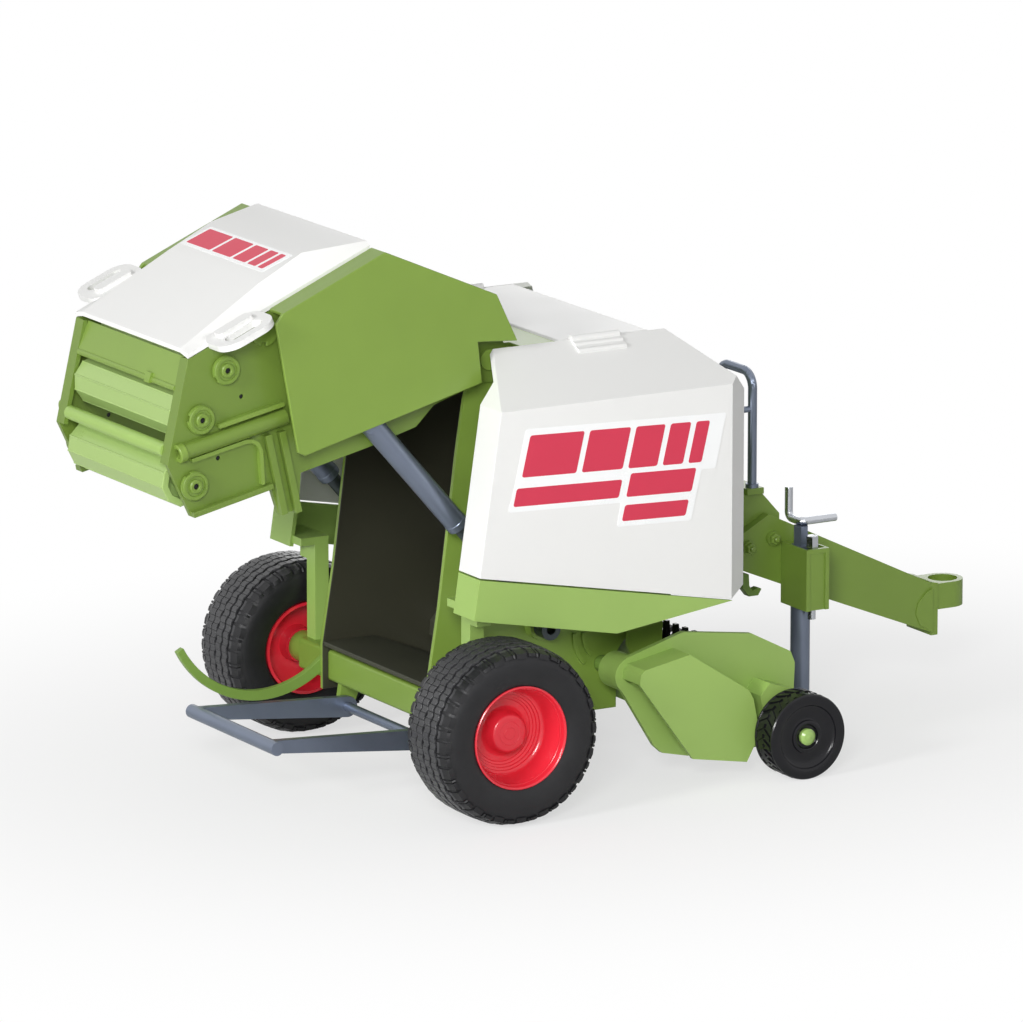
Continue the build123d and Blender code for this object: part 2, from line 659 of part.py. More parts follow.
# Tailgate cylinders: tube hung on the gate's pin, rod sliding in it down to the chassis lug
open_len = hypot(LOWER_PIN[0] - UPPER_PIN[0], LOWER_PIN[1] - UPPER_PIN[1])
closed_pin = swung(UPPER_PIN, -GATE_SWING)
closed_len = hypot(LOWER_PIN[0] - closed_pin[0], LOWER_PIN[1] - closed_pin[1])
strut_dir = ((LOWER_PIN[0] - UPPER_PIN[0]) / open_len, 0, (LOWER_PIN[1] - UPPER_PIN[1]) / open_len)
ROD_TIP = closed_len - PIN_R - 1.1


def along_strut(distance):
    """Plane across the right-hand cylinder, a distance from its upper pin towards its lower pin."""
    origin = (AXLE_X + UPPER_PIN[0] + distance * strut_dir[0], -STRUT_Y, UPPER_PIN[1] + distance * strut_dir[2])
    return Plane(origin=origin, x_dir=(0, -1, 0), z_dir=strut_dir)


with BuildPart() as strut_tube:
    with BuildSketch(along_strut(0)):
        Circle(STRUT_R)
    extrude(amount=STRUT_TUBE)
    with BuildSketch(side(-STRUT_Y + STRUT_R - 0.4)):
        with Locations(UPPER_PIN):
            Circle(STRUT_R)
    extrude(amount=2 * STRUT_R - 0.8)
    with BuildSketch(along_strut(PIN_R + 0.8)):
        Circle(ROD_R + RUN)
    extrude(amount=STRUT_TUBE, mode=Mode.SUBTRACT)
    with BuildSketch(side(-STRUT_Y + STRUT_R)):
        with Locations(UPPER_PIN):
            Circle(PIN_R + RUN)
    extrude(amount=2 * STRUT_R, mode=Mode.SUBTRACT)
write_both(strut_tube.part, "strut_tube")

with BuildPart() as strut_rod:
    with BuildSketch(along_strut(open_len - ROD_TIP)):
        Circle(ROD_R)
    extrude(amount=ROD_TIP - 1)
    with BuildSketch(side(-STRUT_Y + ROD_EYE_HALF)):
        with Locations(LOWER_PIN):
            Circle(3.2)
    extrude(amount=2 * ROD_EYE_HALF)
    with BuildSketch(side(-STRUT_Y + ROD_EYE_HALF)):
        with Locations(LOWER_PIN):
            Circle(1.5)
    extrude(amount=2 * ROD_EYE_HALF, mode=Mode.SUBTRACT)
write_both(strut_rod.part, "strut_rod")

# Bale ramp: two tapering arms, a rear bar and a pivot rod in lugs under the axle beam
ramp_rod_half = lug_y + LUG_W + 0.8
with BuildPart() as bale_ramp:
    for hand in (-1, 1):
        with BuildSketch(side(hand * RAMP_ARM_Y + RAMP_ARM_W / 2)):
            with BuildLine():
                Polyline(
                    (RAMP_BAR_X, RAMP_BAR_Z - 1.9), (RAMP_BAR_X, RAMP_BAR_Z + 1.9), (RAMP_X, RAMP_Z + 3.2),
                    (RAMP_X, RAMP_Z - 3.2), close=True,
                )
            make_face()
            with Locations((RAMP_X, RAMP_Z)):
                Circle(3.2)
        extrude(amount=RAMP_ARM_W)
    with BuildSketch(side(-RAMP_HALF)):
        with Locations((RAMP_BAR_X, RAMP_BAR_Z)):
            Circle(RAMP_BAR_R)
    extrude(amount=-2 * RAMP_HALF)
    with BuildSketch(side(-ramp_rod_half)):
        with Locations((RAMP_X, RAMP_Z)):
            Circle(RAMP_ROD_R)
    extrude(amount=-2 * ramp_rod_half)
write(bale_ramp.part, "bale_ramp")

# Curved guide arm on the left, from the axle beam's rear face
GUIDE_X, GUIDE_Z, GUIDE_R = -27.2, 52.6, 30.7
GUIDE_ROOT, GUIDE_WIDTH, GUIDE_TIP = 3.4, 3.2, 2.4
beam_rear = -AXLE_BEAM[0] / 2
with BuildPart() as guide_arm:
    with BuildSketch(side(wall_out + 2.2)):
        with BuildLine():
            root, root_out = (
                (beam_rear, GUIDE_Z - sqrt(r**2 - (beam_rear - GUIDE_X) ** 2)) for r in (GUIDE_R, GUIDE_R + GUIDE_ROOT)
            )
            tip, tip_out = (on_circle(GUIDE_X, GUIDE_Z, r, -152) for r in (GUIDE_R, GUIDE_R + GUIDE_TIP))
            ThreePointArc(root, (GUIDE_X, GUIDE_Z - GUIDE_R), tip)
            Line(tip, tip_out)
            ThreePointArc(tip_out, (GUIDE_X, GUIDE_Z - GUIDE_R - GUIDE_WIDTH), root_out)
            Line(root_out, root)
        make_face()
    extrude(amount=2.2)
write(guide_arm.part, "guide_arm_left")

# Pick-up side plates, each with its drive cover and gauge wheel pin
REEL_SHAFT_R = 2.0
PLATE_OUTLINE = [
    (51.0, 39.7), (70.5, 45.2), (94.6, 41.8), (108.5, 34.6), (110, 31), (109.6, 20), (105.5, 9.5),
    (97, 6.4), (72.4, 6.8), (63.3, 8.9), (60.5, 11.4), (49.0, 30.0),
]
COVER_OUTLINE = [(49.4, 33.6), (49.8, 36.6), (51.2, 37.9), (66.8, 40.8), (87.5, 27.4), (89.2, 24.4), (91.5, 13.3), (87, 5.2), (68, 8.6)]
COVER_T = 1.3
PIVOT_DRUM_R = 5.5
DRUM_L = 8.0
ARM_OUTLINE = [(92.4, 24.6), (95.6, 28.2), (103.6, 25.4), (104.8, GAUGE_R + 2), (98.6, GAUGE_R - 1), (94.0, 17.4)]
cap_at = GAUGE_W / 2 - 1.5    # inner face of a gauge wheel's cap, outwards from the wheel's middle
plate_in = PICKUP_HALF - PICKUP_T
with BuildPart() as pickup_side:
    with BuildSketch(side(-plate_in)):
        with BuildLine():
            Polyline(*PLATE_OUTLINE, close=True)
        make_face()
        with Locations((PICKUP_X, PICKUP_Z)):
            Circle(PIVOT_DRUM_R)
            Circle(PICKUP_TUBE_R + RUN / 2, mode=Mode.SUBTRACT)
        with Locations((REEL_X, REEL_Z)):
            Circle(REEL_SHAFT_R + RUN, mode=Mode.SUBTRACT)
    extrude(amount=PICKUP_T)
    with BuildSketch(side(-plate_in + DRUM_L)):
        with Locations((PICKUP_X, PICKUP_Z)):
            Circle(PIVOT_DRUM_R)
            Circle(PICKUP_TUBE_R + RUN / 2, mode=Mode.SUBTRACT)
    extrude(amount=DRUM_L)
    with BuildSketch(side(-COVER_Y + COVER_T)):
        with BuildLine():
            Polyline(*COVER_OUTLINE, close=True)
        make_face()
    extrude(amount=COVER_T)
    with BuildSketch(side(-PICKUP_HALF)):
        with BuildLine():
            Polyline(*band(COVER_OUTLINE[:6], -COVER_T), close=True)
        make_face()
    extrude(amount=COVER_Y - PICKUP_HALF)
    with BuildSketch(side(-PICKUP_HALF)):
        with BuildLine():
            Polyline(*ARM_OUTLINE, close=True)
        make_face()
    extrude(amount=GAUGE_Y - GAUGE_W / 2 - 1.6 - PICKUP_HALF)
    with BuildSketch(side(-PICKUP_HALF)):
        with Locations((GAUGE_X, GAUGE_R)):
            Circle(3.6)
    extrude(amount=GAUGE_Y - GAUGE_W / 2 - SLIP - PICKUP_HALF)
    with BuildSketch(side(-PICKUP_HALF)):
        with Locations((GAUGE_X, GAUGE_R)):
            Circle(GAUGE_PIN_R)
    extrude(amount=GAUGE_Y + cap_at - PICKUP_HALF)
write_both(pickup_side.part, "pickup_side")

with BuildPart() as pickup_tube:
    with BuildSketch(side(-PICKUP_HALF)):
        with Locations((PICKUP_X, PICKUP_Z)):
            Circle(PICKUP_TUBE_R)
    extrude(amount=-2 * PICKUP_HALF)
write(pickup_tube.part, "pickup_tube")

TROUGH_LINE = [(70, 39), (61.9, 35.8), (58.8, 31), (58.8, 22.5)]
with BuildPart() as pickup_trough:
    with BuildSketch(side(-plate_in)):
        with BuildLine():
            Polyline(*band(TROUGH_LINE, 1.2), close=True)
        make_face()
    extrude(amount=-2 * plate_in)
write(pickup_trough.part, "pickup_trough")

# Pick-up reel: a drum with rings of tapered tines
TINE_RINGS = 17
REEL_HALF = plate_in - 0.6
TINE_PITCH = 2 * (REEL_HALF - 4.4) / (TINE_RINGS - 1)
TINES = 6
with BuildPart() as reel:
    with BuildSketch(side(-REEL_HALF)):
        with Locations((REEL_X, REEL_Z)):
            RegularPolygon(REEL_CORE_R, 2 * TINES, rotation=15, major_radius=False)
    extrude(amount=-2 * REEL_HALF)
    with BuildSketch(side(-PICKUP_HALF + RUN)):
        with Locations((REEL_X, REEL_Z)):
            Circle(REEL_SHAFT_R)
    extrude(amount=-2 * (PICKUP_HALF - RUN))
    for ring in range(TINE_RINGS):
        ring_y = (ring - (TINE_RINGS - 1) / 2) * TINE_PITCH
        with BuildSketch(side(ring_y + 0.9)):
            for index in range(TINES):
                turn = 360 * index / TINES + 30
                tip = on_circle(REEL_X, REEL_Z, REEL_R, turn + 2.5)
                tip_back = on_circle(REEL_X, REEL_Z, REEL_R, turn - 2.5)
                root = on_circle(REEL_X, REEL_Z, REEL_CORE_R - 1, turn + 12)
                root_back = on_circle(REEL_X, REEL_Z, REEL_CORE_R - 1, turn - 12)
                with BuildLine():
                    Polyline(tip, root, root_back, tip_back, close=True)
                make_face()
        extrude(amount=1.8)
write(reel.part, "pickup_reel")

# Gauge wheels with a hub cap each, on the end of the pin
half_gauge = GAUGE_W / 2
GAUGE_PROFILE = [(half_gauge, GAUGE_R - 1), (half_gauge - 1, GAUGE_R)]    # distance out from the middle, radius
with BuildPart() as gauge_wheel:
    inner_side = [(-out, radius) for out, radius in GAUGE_PROFILE]
    add(flat_sided(inner_side + GAUGE_PROFILE[::-1], GAUGE_SIDES, GAUGE_X, -GAUGE_Y, GAUGE_R))
    for face_y, depth, rim_r, hub_r in [(-GAUGE_Y - half_gauge, 1.4, 9.4, 4.4), (-GAUGE_Y + half_gauge, -2.0, 10.4, 4.0)]:
        with BuildSketch(side(face_y)):
            with Locations((GAUGE_X, GAUGE_R)):
                RegularPolygon(rim_r, GAUGE_SIDES)
                RegularPolygon(hub_r, GAUGE_SIDES // 2, mode=Mode.SUBTRACT)
        extrude(amount=-depth, mode=Mode.SUBTRACT)
    with BuildSketch(side(-GAUGE_Y - half_gauge)):
        with Locations((GAUGE_X, GAUGE_R)):
            RegularPolygon(3.4, GAUGE_SIDES // 2)
    extrude(amount=cap_at - SLIP - half_gauge, mode=Mode.SUBTRACT)
    with BuildSketch(side(-GAUGE_Y - half_gauge)):
        with Locations((GAUGE_X, GAUGE_R)):
            Circle(GAUGE_PIN_R + RUN)
    extrude(amount=-GAUGE_W, mode=Mode.SUBTRACT)
write_both(gauge_wheel.part, "gauge_wheel")

with BuildPart() as gauge_cap:
    with BuildSketch(spin(GAUGE_X, -GAUGE_Y, GAUGE_R)):
        with BuildLine():
            Polyline(
                (cap_at, 0), (cap_at, 2.5), (cap_at + 1.3, 2.5), (cap_at + 1.9, 1.7), (cap_at + 2.3, 0), close=True,
            )
        make_face()
    revolve(axis=shaft_axis(GAUGE_X, GAUGE_R))
write_both(gauge_cap.part, "gauge_cap")

# Front bracket on the chassis and the drawbar bolted over it
BRACKET_SIDE = [
    (87, HOOP_BASE + 4), (96, HOOP_BASE), (121.5, HOOP_BASE), (130, HOOP_BASE - 9.4), (130, HOOP_BASE - 28),
    (106, HOOP_BASE - 21), (96, HOOP_BASE - 17.5), (87, HOOP_BASE - 15.5),
]
with BuildPart() as front_bracket:
    with BuildSketch(side(-BRACKET_HALF)):
        with BuildLine():
            Polyline(*BRACKET_SIDE, close=True)
        make_face()
    extrude(amount=-2 * BRACKET_HALF)
    with BuildSketch(level(HOOP_BASE - 2)):
        with Locations((HOOP_X, 0)):
            Rectangle(6, 2 * HOOP_HALF + 4.4)
    extrude(amount=2)
write(front_bracket.part, "front_bracket")

BEAM_FRONT_X = 187.0
BEAM_SIDE = [
    (104, HOOP_BASE - 16), (115, HOOP_BASE - 13.6), (124.3, HOOP_BASE - 8.6), (BEAM_FRONT_X, EYE_TOP + 0.6),
    (BEAM_FRONT_X, EYE_TOP - 15), (129, HOOP_BASE - 31), (114.6, HOOP_BASE - 25), (104, HOOP_BASE - 22),
]
PLATE_X = (BEAM_FRONT_X, BEAM_FRONT_X + 2.4)
beam_taper = (BEAM_REAR_HALF - BEAM_FRONT_HALF) / (BEAM_FRONT_X - 124.3)
with BuildPart() as drawbar:
    with BuildSketch(side(-BEAM_REAR_HALF)):
        with BuildLine():
            Polyline(*BEAM_SIDE, close=True)
        make_face()
    extrude(amount=-2 * BEAM_REAR_HALF)
    for hand in (-1, 1):
        taper = Plane(
            origin=(AXLE_X + BEAM_FRONT_X, hand * BEAM_FRONT_HALF, 0), x_dir=(0, 0, 1), z_dir=(beam_taper, hand, 0),
        )
        split(bisect_by=taper, keep=Keep.BOTTOM)
    with BuildSketch(side(-BRACKET_HALF - RUN)):
        with BuildLine():
            Polyline((90, HOOP_BASE + 14), (130.2, HOOP_BASE + 14), (130.2, HOOP_BASE - 36), (90, HOOP_BASE - 36), close=True)
        make_face()
    extrude(amount=-2 * (BRACKET_HALF + RUN), mode=Mode.SUBTRACT)
    with BuildSketch(side(-BEAM_FRONT_HALF)):
        with BuildLine():
            Polyline((PLATE_X[0], EYE_TOP - 16), (PLATE_X[1], EYE_TOP - 16), (PLATE_X[1], EYE_TOP + 0.4), (PLATE_X[0], EYE_TOP + 1), close=True)
        make_face()
    extrude(amount=-2 * BEAM_FRONT_HALF)
    with BuildSketch(level(EYE_TOP - EYE_H)):
        with Locations((EYE_X, 0)):
            Circle(EYE_R + EYE_WALL)
        with Locations(((PLATE_X[1] + EYE_X) / 2, 0)):
            Rectangle(EYE_X - PLATE_X[1], 2 * (EYE_R + EYE_WALL))
        with Locations((EYE_X, 0)):
            Circle(EYE_R, mode=Mode.SUBTRACT)
    extrude(amount=EYE_H)
    with BuildSketch(level(EYE_TOP - EYE_H - 3.4)):
        with Locations(((PLATE_X[1] + EYE_X - EYE_R) / 2, 0)):
            Rectangle(EYE_X - EYE_R - PLATE_X[1], 5)
    extrude(amount=3.4)
    for bolt_x, bolt_z in [(116.8, HOOP_BASE - 18.1), (125.4, HOOP_BASE - 16.1)]:
        for hand in (-1, 1):
            with BuildSketch(side(hand * (BEAM_REAR_HALF - 1))):
                with Locations((bolt_x, bolt_z)):
                    Circle(2.2)
            extrude(amount=-hand * 2.2)
write(drawbar.part, "drawbar")

# Hose guard hoop on the bracket
with BuildPart() as guard_hoop:
    with BuildLine() as hoop_line:
        FilletPolyline(
            (AXLE_X + HOOP_X, -HOOP_HALF, HOOP_BASE), (AXLE_X + HOOP_X, -HOOP_HALF, HOOP_TOP),
            (AXLE_X + HOOP_X, HOOP_HALF, HOOP_TOP), (AXLE_X + HOOP_X, HOOP_HALF, HOOP_BASE), radius=HOOP_BEND,
        )
    with BuildSketch(Plane(origin=(AXLE_X + HOOP_X, -HOOP_HALF, HOOP_BASE), z_dir=(0, 0, 1))):
        RegularPolygon(HOOP_R, 12)
    sweep(path=hoop_line.line)
    with BuildSketch(level(HOOP_BASE)):
        with Locations((HOOP_X, -HOOP_HALF), (HOOP_X, HOOP_HALF)):
            RegularPolygon(HOOP_R + 0.6, 12)
    extrude(amount=1.2)
    for hand in (-1, 1):
        with BuildSketch(cross(WALL_FRONT_X + 1.4)):
            with Locations((hand * HOOP_HALF, HOOP_STAY_Z)):
                RegularPolygon(1.0, 8)
        extrude(amount=HOOP_X - WALL_FRONT_X - 1.4)
write(guard_hoop.part, "guard_hoop")

# Small hook under the drawbar
HOOK_LINE = [    # x, drop below the bracket's top
    (116.6, 26.4), (116.9, 31.5), (119.2, 34.4), (122.6, 34.4), (123.8, 32.4), (122.6, 32.0), (120.4, 32.6),
    (119.4, 31.0), (119.2, 27.4),
]
with BuildPart() as hook:
    with BuildSketch(side(-BRACKET_HALF + 3)):
        with BuildLine():
            Polyline(*[(x, HOOP_BASE - drop) for x, drop in HOOK_LINE], close=True)
        make_face()
    extrude(amount=3)
write(hook.part, "hose_hook")

# Jack: its box on the drawbar, the leg with its foot, and the bent crank
JACK_BOX_X = (128.9, 137.1)
JACK_BOX_Y = (-26.4, -0.02 - BEAM_FRONT_HALF - beam_taper * (BEAM_FRONT_X - JACK_BOX_X[0]))
SCREW_Y = -23.3
SCREW_R = 1.2
JACK_BOX_Z = (39.2, 58.4)
BOX_T = 0.7
CHANNEL_D = 0.6            # depth of the channel in the box's outer face
box_mid = ((JACK_BOX_X[0] + JACK_BOX_X[1]) / 2, (JACK_BOX_Y[0] + JACK_BOX_Y[1]) / 2)
box_len = (JACK_BOX_X[1] - JACK_BOX_X[0], JACK_BOX_Y[1] - JACK_BOX_Y[0])
box_z, box_h = JACK_BOX_Z[0], JACK_BOX_Z[1] - JACK_BOX_Z[0]
with BuildPart() as jack_box:
    with BuildSketch(level(box_z)):
        with Locations(box_mid):
            Rectangle(*box_len)
    extrude(amount=box_h)
    with BuildSketch(level(box_z + BOX_T)):
        with Locations((box_mid[0], box_mid[1] + CHANNEL_D / 2)):
            Rectangle(box_len[0] - 2 * BOX_T, box_len[1] - 2 * BOX_T - CHANNEL_D)
    extrude(amount=box_h, mode=Mode.SUBTRACT)
    with BuildSketch(level(box_z)):
        with Locations((box_mid[0], JACK_BOX_Y[0])):
            Rectangle(box_len[0] - 2.8, 2 * CHANNEL_D)
    extrude(amount=box_h - 1.4, mode=Mode.SUBTRACT)
    with BuildSketch(level(box_z)):
        with Locations((JACK_X, JACK_Y)):
            Circle(JACK_R + RUN)
        with Locations((JACK_X, SCREW_Y)):
            Circle(SCREW_R)
    extrude(amount=BOX_T, mode=Mode.SUBTRACT)
write(jack_box.part, "jack_box")

with BuildPart() as jack_leg:
    with BuildSketch(level(0)):
        with Locations((JACK_X, JACK_Y)):
            Circle(FOOT_R)
    extrude(amount=1.6)
    with BuildSketch(level(0)):
        with Locations((JACK_X, JACK_Y)):
            Circle(JACK_R)
    extrude(amount=JACK_TOP - 3)
    with BuildSketch(level(JACK_TOP - 3)):
        with Locations((JACK_X, JACK_Y)):
            RegularPolygon(2.4, 6)
    extrude(amount=3 + JACK_HEAD)
write(jack_leg.part, "jack_leg")

CRANK_R = 1.25
CRANK_Z = JACK_TOP + JACK_HEAD + CRANK_R
with BuildPart() as jack_crank:
    with BuildLine() as crank_line:
        FilletPolyline(
            (AXLE_X + JACK_X, -9.8, CRANK_Z + 9.6), (AXLE_X + JACK_X, -9.8, CRANK_Z), (AXLE_X + JACK_X, JACK_Y, CRANK_Z),
            (AXLE_X + JACK_X + 12.5, JACK_Y, CRANK_Z), radius=2,
        )
    with BuildSketch(Plane(origin=(AXLE_X + JACK_X, -9.8, CRANK_Z + 9.6), z_dir=(0, 0, -1))):
        RegularPolygon(CRANK_R, 12)
    sweep(path=crank_line.line)
write(jack_crank.part, "jack_crank")

with BuildPart() as jack_screw:
    with BuildSketch(level(box_z - 3.2)):
        with Locations((JACK_X, SCREW_Y)):
            Circle(SCREW_R)
    extrude(amount=box_h + 3.2)
    with BuildSketch(level(box_z + box_h)):
        with Locations((JACK_X, SCREW_Y)):
            RegularPolygon(2.0, 6)
    extrude(amount=3.6)
write(jack_screw.part, "jack_screw")
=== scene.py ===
# %% [markdown]
# # A toy round baler
#
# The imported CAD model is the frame: every piece of this scene is laid on it, in metres, with +X towards
# the towing eye, +Y to the left and +Z up. The moulded pieces get soft edges and plastic finishes, and
# what the CAD leaves plain, such as the tyre tread and the nuts, is modelled here on top of it.

# %% Load the frame
import json
import math

import bpy
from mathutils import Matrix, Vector

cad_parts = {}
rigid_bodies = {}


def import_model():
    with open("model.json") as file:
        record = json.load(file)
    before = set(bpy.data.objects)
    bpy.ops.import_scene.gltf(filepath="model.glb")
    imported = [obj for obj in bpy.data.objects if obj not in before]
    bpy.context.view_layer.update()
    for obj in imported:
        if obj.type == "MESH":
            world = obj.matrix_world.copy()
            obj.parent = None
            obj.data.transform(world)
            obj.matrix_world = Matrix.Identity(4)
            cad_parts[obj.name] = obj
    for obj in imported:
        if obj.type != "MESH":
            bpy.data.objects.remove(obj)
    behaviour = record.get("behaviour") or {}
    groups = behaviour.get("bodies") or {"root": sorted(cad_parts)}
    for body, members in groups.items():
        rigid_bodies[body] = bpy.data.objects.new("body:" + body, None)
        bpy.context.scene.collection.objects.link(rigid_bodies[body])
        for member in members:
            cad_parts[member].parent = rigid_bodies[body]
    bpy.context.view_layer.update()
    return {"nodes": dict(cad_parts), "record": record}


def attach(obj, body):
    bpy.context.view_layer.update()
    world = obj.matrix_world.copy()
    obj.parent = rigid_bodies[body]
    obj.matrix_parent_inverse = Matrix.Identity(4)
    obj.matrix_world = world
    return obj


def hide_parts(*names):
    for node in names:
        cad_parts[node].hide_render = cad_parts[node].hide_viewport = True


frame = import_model()
nodes = frame["nodes"]
MM = 0.001
print(len(nodes), "CAD nodes")

# %% [markdown]
# ## Places that the pieces share
#
# The CAD source counts its lengths from the main axle, whose middle lies behind the middle of the toy.
# The same few places are written here once, in millimetres, so that a nut or a tread block meets what
# carries it.

# %% Places
AXLE_X = -53.3 * MM
WHEEL_Y = 63.5
TYRE_R = 27.1
GAUGE_X, GAUGE_Y = 102.1, 65.5
GAUGE_R = 13.2
FLAP_Y = 62.0
GATE_Y = 34.8
SIDES = {"right": -1, "left": 1}


def at(x, y, z):
    """A place given in millimetres from the main axle, in the frame's metres."""
    return Vector((x * MM + AXLE_X, y * MM, z * MM))


def wheel_centre(hand):
    """Middle of a main wheel; hand is -1 on the right and 1 on the left."""
    return at(0, hand * WHEEL_Y, TYRE_R)


def body_of(node):
    """The name of the body that a CAD node belongs to."""
    return next(name for name, members in frame["record"]["behaviour"]["bodies"].items() if node in members)


# %% [markdown]
# ## Shader maths as plain expressions
#
# A finish is mostly arithmetic: a noise is stretched, turned round and mixed with another. Drawing that
# with one Math node per sign is long, so this small class wraps a socket and lets Python's own signs add
# the nodes. Every other node comes from one method, which takes its type, its settings and its inputs.

# %% Shader helper
class Field:
    """One output socket of a material, which adds Math nodes when it is used in an expression."""

    def __init__(self, finish, socket):
        self.finish = finish
        self.socket = socket

    def math(self, operation, *others):
        return self.finish.node("ShaderNodeMath", {"operation": operation}, dict(enumerate([self, *others])))

    def __add__(self, other):
        return self.math("ADD", other)

    def __mul__(self, other):
        return self.math("MULTIPLY", other)

    def __sub__(self, other):
        return self.math("SUBTRACT", other)


class Finish:
    """A material with a Principled shader, and the methods that fill it."""

    def __init__(self, name, **sockets):
        self.material = bpy.data.materials.new(name)
        self.material.use_nodes = True
        self.tree = self.material.node_tree
        self.shader = self.tree.nodes["Principled BSDF"]
        for socket, value in sockets.items():
            self.feed(socket.replace("_", " "), value)

    def feed(self, socket, value):
        """Sets a socket of the shader, or links a field to it."""
        target = self.shader.inputs[socket]
        if isinstance(value, Field):
            self.tree.links.new(value.socket, target)
        else:
            target.default_value = value

    def node(self, kind, settings=None, inputs=None, output=0):
        """Adds a node: its settings first, then the values or links of its inputs."""
        made = self.tree.nodes.new(kind)
        for key, value in (settings or {}).items():
            setattr(made, key, value)
        for key, value in (inputs or {}).items():
            if isinstance(value, Field):
                self.tree.links.new(value.socket, made.inputs[key])
            else:
                made.inputs[key].default_value = value
        return Field(self, made.outputs[output])

    def place(self):
        """The piece's own coordinates, in metres."""
        return self.node("ShaderNodeTexCoord", output="Object")

    def noise(self, scale, detail=3.0, roughness=0.55):
        """Noise from 0 to 1 whose patches are about 1/scale metres across."""
        return self.node(
            "ShaderNodeTexNoise", None,
            {"Vector": self.place(), "Scale": scale, "Detail": detail, "Roughness": roughness},
        )

    def mix(self, factor, low, high):
        """A colour between two colours."""
        return self.node("ShaderNodeMix", {"data_type": "RGBA"}, {0: factor, 6: low, 7: high}, output=2)

    def bump(self, height, strength, distance):
        """A normal bent by a height."""
        return self.node("ShaderNodeBump", None, {"Height": height, "Strength": strength, "Distance": distance})


# %% [markdown]
# ## Moulded plastic
#
# The toy is injection moulded: the colour goes right through, the face has a satin sheen with a very
# fine grain, and a mould leaves faint flow marks and slightly duller patches. So the base colour drifts
# by a few percent, the roughness by a little more, and a fine noise gives the grain a height of
# hundredths of a millimetre. The plastics differ in colour, gloss and coat. A chamber wall takes a
# near-black on its inner side as painted shade, and a roller's drum takes a paler green than its discs as
# painted light: that second colour lies near the middle.

# %% Plastic finishes
# painted shade: a near-black that stands for the shade inside the bale chamber
CHAMBER_SHADE_COLOUR = (0.040, 0.040, 0.026)
GRIT_HEIGHT = 0.00004    # metres


def rgba(red, green, blue):
    """An opaque colour."""
    return (red, green, blue, 1.0)


def plastic(
    name, colour, gloss, drift=0.06, grain=0.25, coat=0.0, inside_y=None, inside=CHAMBER_SHADE_COLOUR, shine=0.5,
):
    """Satin moulded plastic of a colour; gloss is its mean roughness. Nearer the middle than inside_y, in
    millimetres, it takes the inside colour, which is painted shade on a chamber wall and painted light on
    a roller's drum."""
    finish = Finish(name, IOR=1.48, Coat_Roughness=0.15, Specular_IOR_Level=shine)
    finish.shader.inputs["Coat Weight"].default_value = coat
    darker = rgba(*(c * (1 - drift) for c in colour))
    lighter = rgba(*(min(1.0, c * (1 + drift)) for c in colour))
    flow = finish.noise(45, 2.0)
    grit = finish.noise(2600, 2.0)
    shade = finish.mix(flow, darker, lighter)
    if inside_y:
        # painted shade on a chamber wall, painted light on a roller's drum: the middle takes the inside colour
        across = finish.node("ShaderNodeSeparateXYZ", None, {0: finish.place()}, output=1)
        painted_middle = across.math("ABSOLUTE").math("LESS_THAN", inside_y * MM)
        shade = finish.mix(painted_middle, shade, rgba(*inside))
    finish.feed("Base Color", shade)
    finish.feed("Roughness", flow * 0.12 + grit * 0.06 + (gloss - 0.09))
    finish.feed("Normal", finish.bump(grit + flow * 0.5, grain, GRIT_HEIGHT))
    return finish.material


GREEN = plastic("green_plastic", (0.190, 0.296, 0.047), 0.34)
# painted light: a paler copy of the green, for faces that catch more light and reflect the floor
PAINTED_LIGHT_GREEN = plastic("painted_light_green_plastic", (0.305, 0.460, 0.113), 0.38)
# painted shade: a darker copy of the green, for the tailgate's sides in the shade of the shields and handles
PAINTED_SHADE_GREEN = plastic("painted_shade_green_plastic", (0.145, 0.228, 0.035), 0.36)
# painted light: the discs take the green, and the drum a paler green for the light that it catches
ROLLER_LIT_GREEN = plastic(
    "roller_lit_drum_plastic", (0.165, 0.262, 0.040), 0.30, inside_y=34.3, inside=(0.330, 0.470, 0.150),
)
DARK_GREEN = plastic("shaded_green_plastic", (0.19, 0.315, 0.06), 0.38)
# painted shade: the chamber's floor and front rollers are near-black for the shade inside the chamber
CHAMBER_INSIDE_SHADE = plastic("chamber_shade_plastic", (0.040, 0.042, 0.026), 0.55, drift=0.3)
WHITE = plastic("white_plastic", (0.80, 0.80, 0.785), 0.36, drift=0.012)
RED = plastic("red_plastic", (0.68, 0.022, 0.040), 0.22, drift=0.04, coat=0.25)
BLACK = plastic("black_plastic", (0.007, 0.007, 0.009), 0.22, grain=0.1, coat=0.1, shine=0.3)
CAP_GREEN = plastic("cap_plastic", (0.30, 0.47, 0.12), 0.24, coat=0.3)
STICKER = plastic("sticker_vinyl", (0.90, 0.91, 0.91), 0.26, drift=0.005, grain=0.03)
INK = plastic("sticker_ink", (0.62, 0.036, 0.078), 0.34, drift=0.03, grain=0.03)
print(len(bpy.data.materials), "materials in the file")

# %% [markdown]
# ## Tyre plastic, plated steel and metallic plastic
#
# The tyres are a soft black plastic, duller than the rims, with a greyer tread that is partly dust and
# partly painted highlight. The crank, the jack's screw and the axle are plated steel with fine drawn lines.
# The cylinders, the jack's leg, the guard hoop and the bale ramp are plastic with metal flake in it, which
# shines like metal but keeps a blue-grey colour; the cylinders' rods take a dark grey as painted shade. A
# table then says which finish each CAD node takes by its slot, and a few nodes get a finish of their own:
# four of these paint shade, two paint light, and the gauge caps take a green of their own.

# %% Other finishes
TREAD_FROM_R = 26.35     # the side wall ends here, in millimetres from the axle


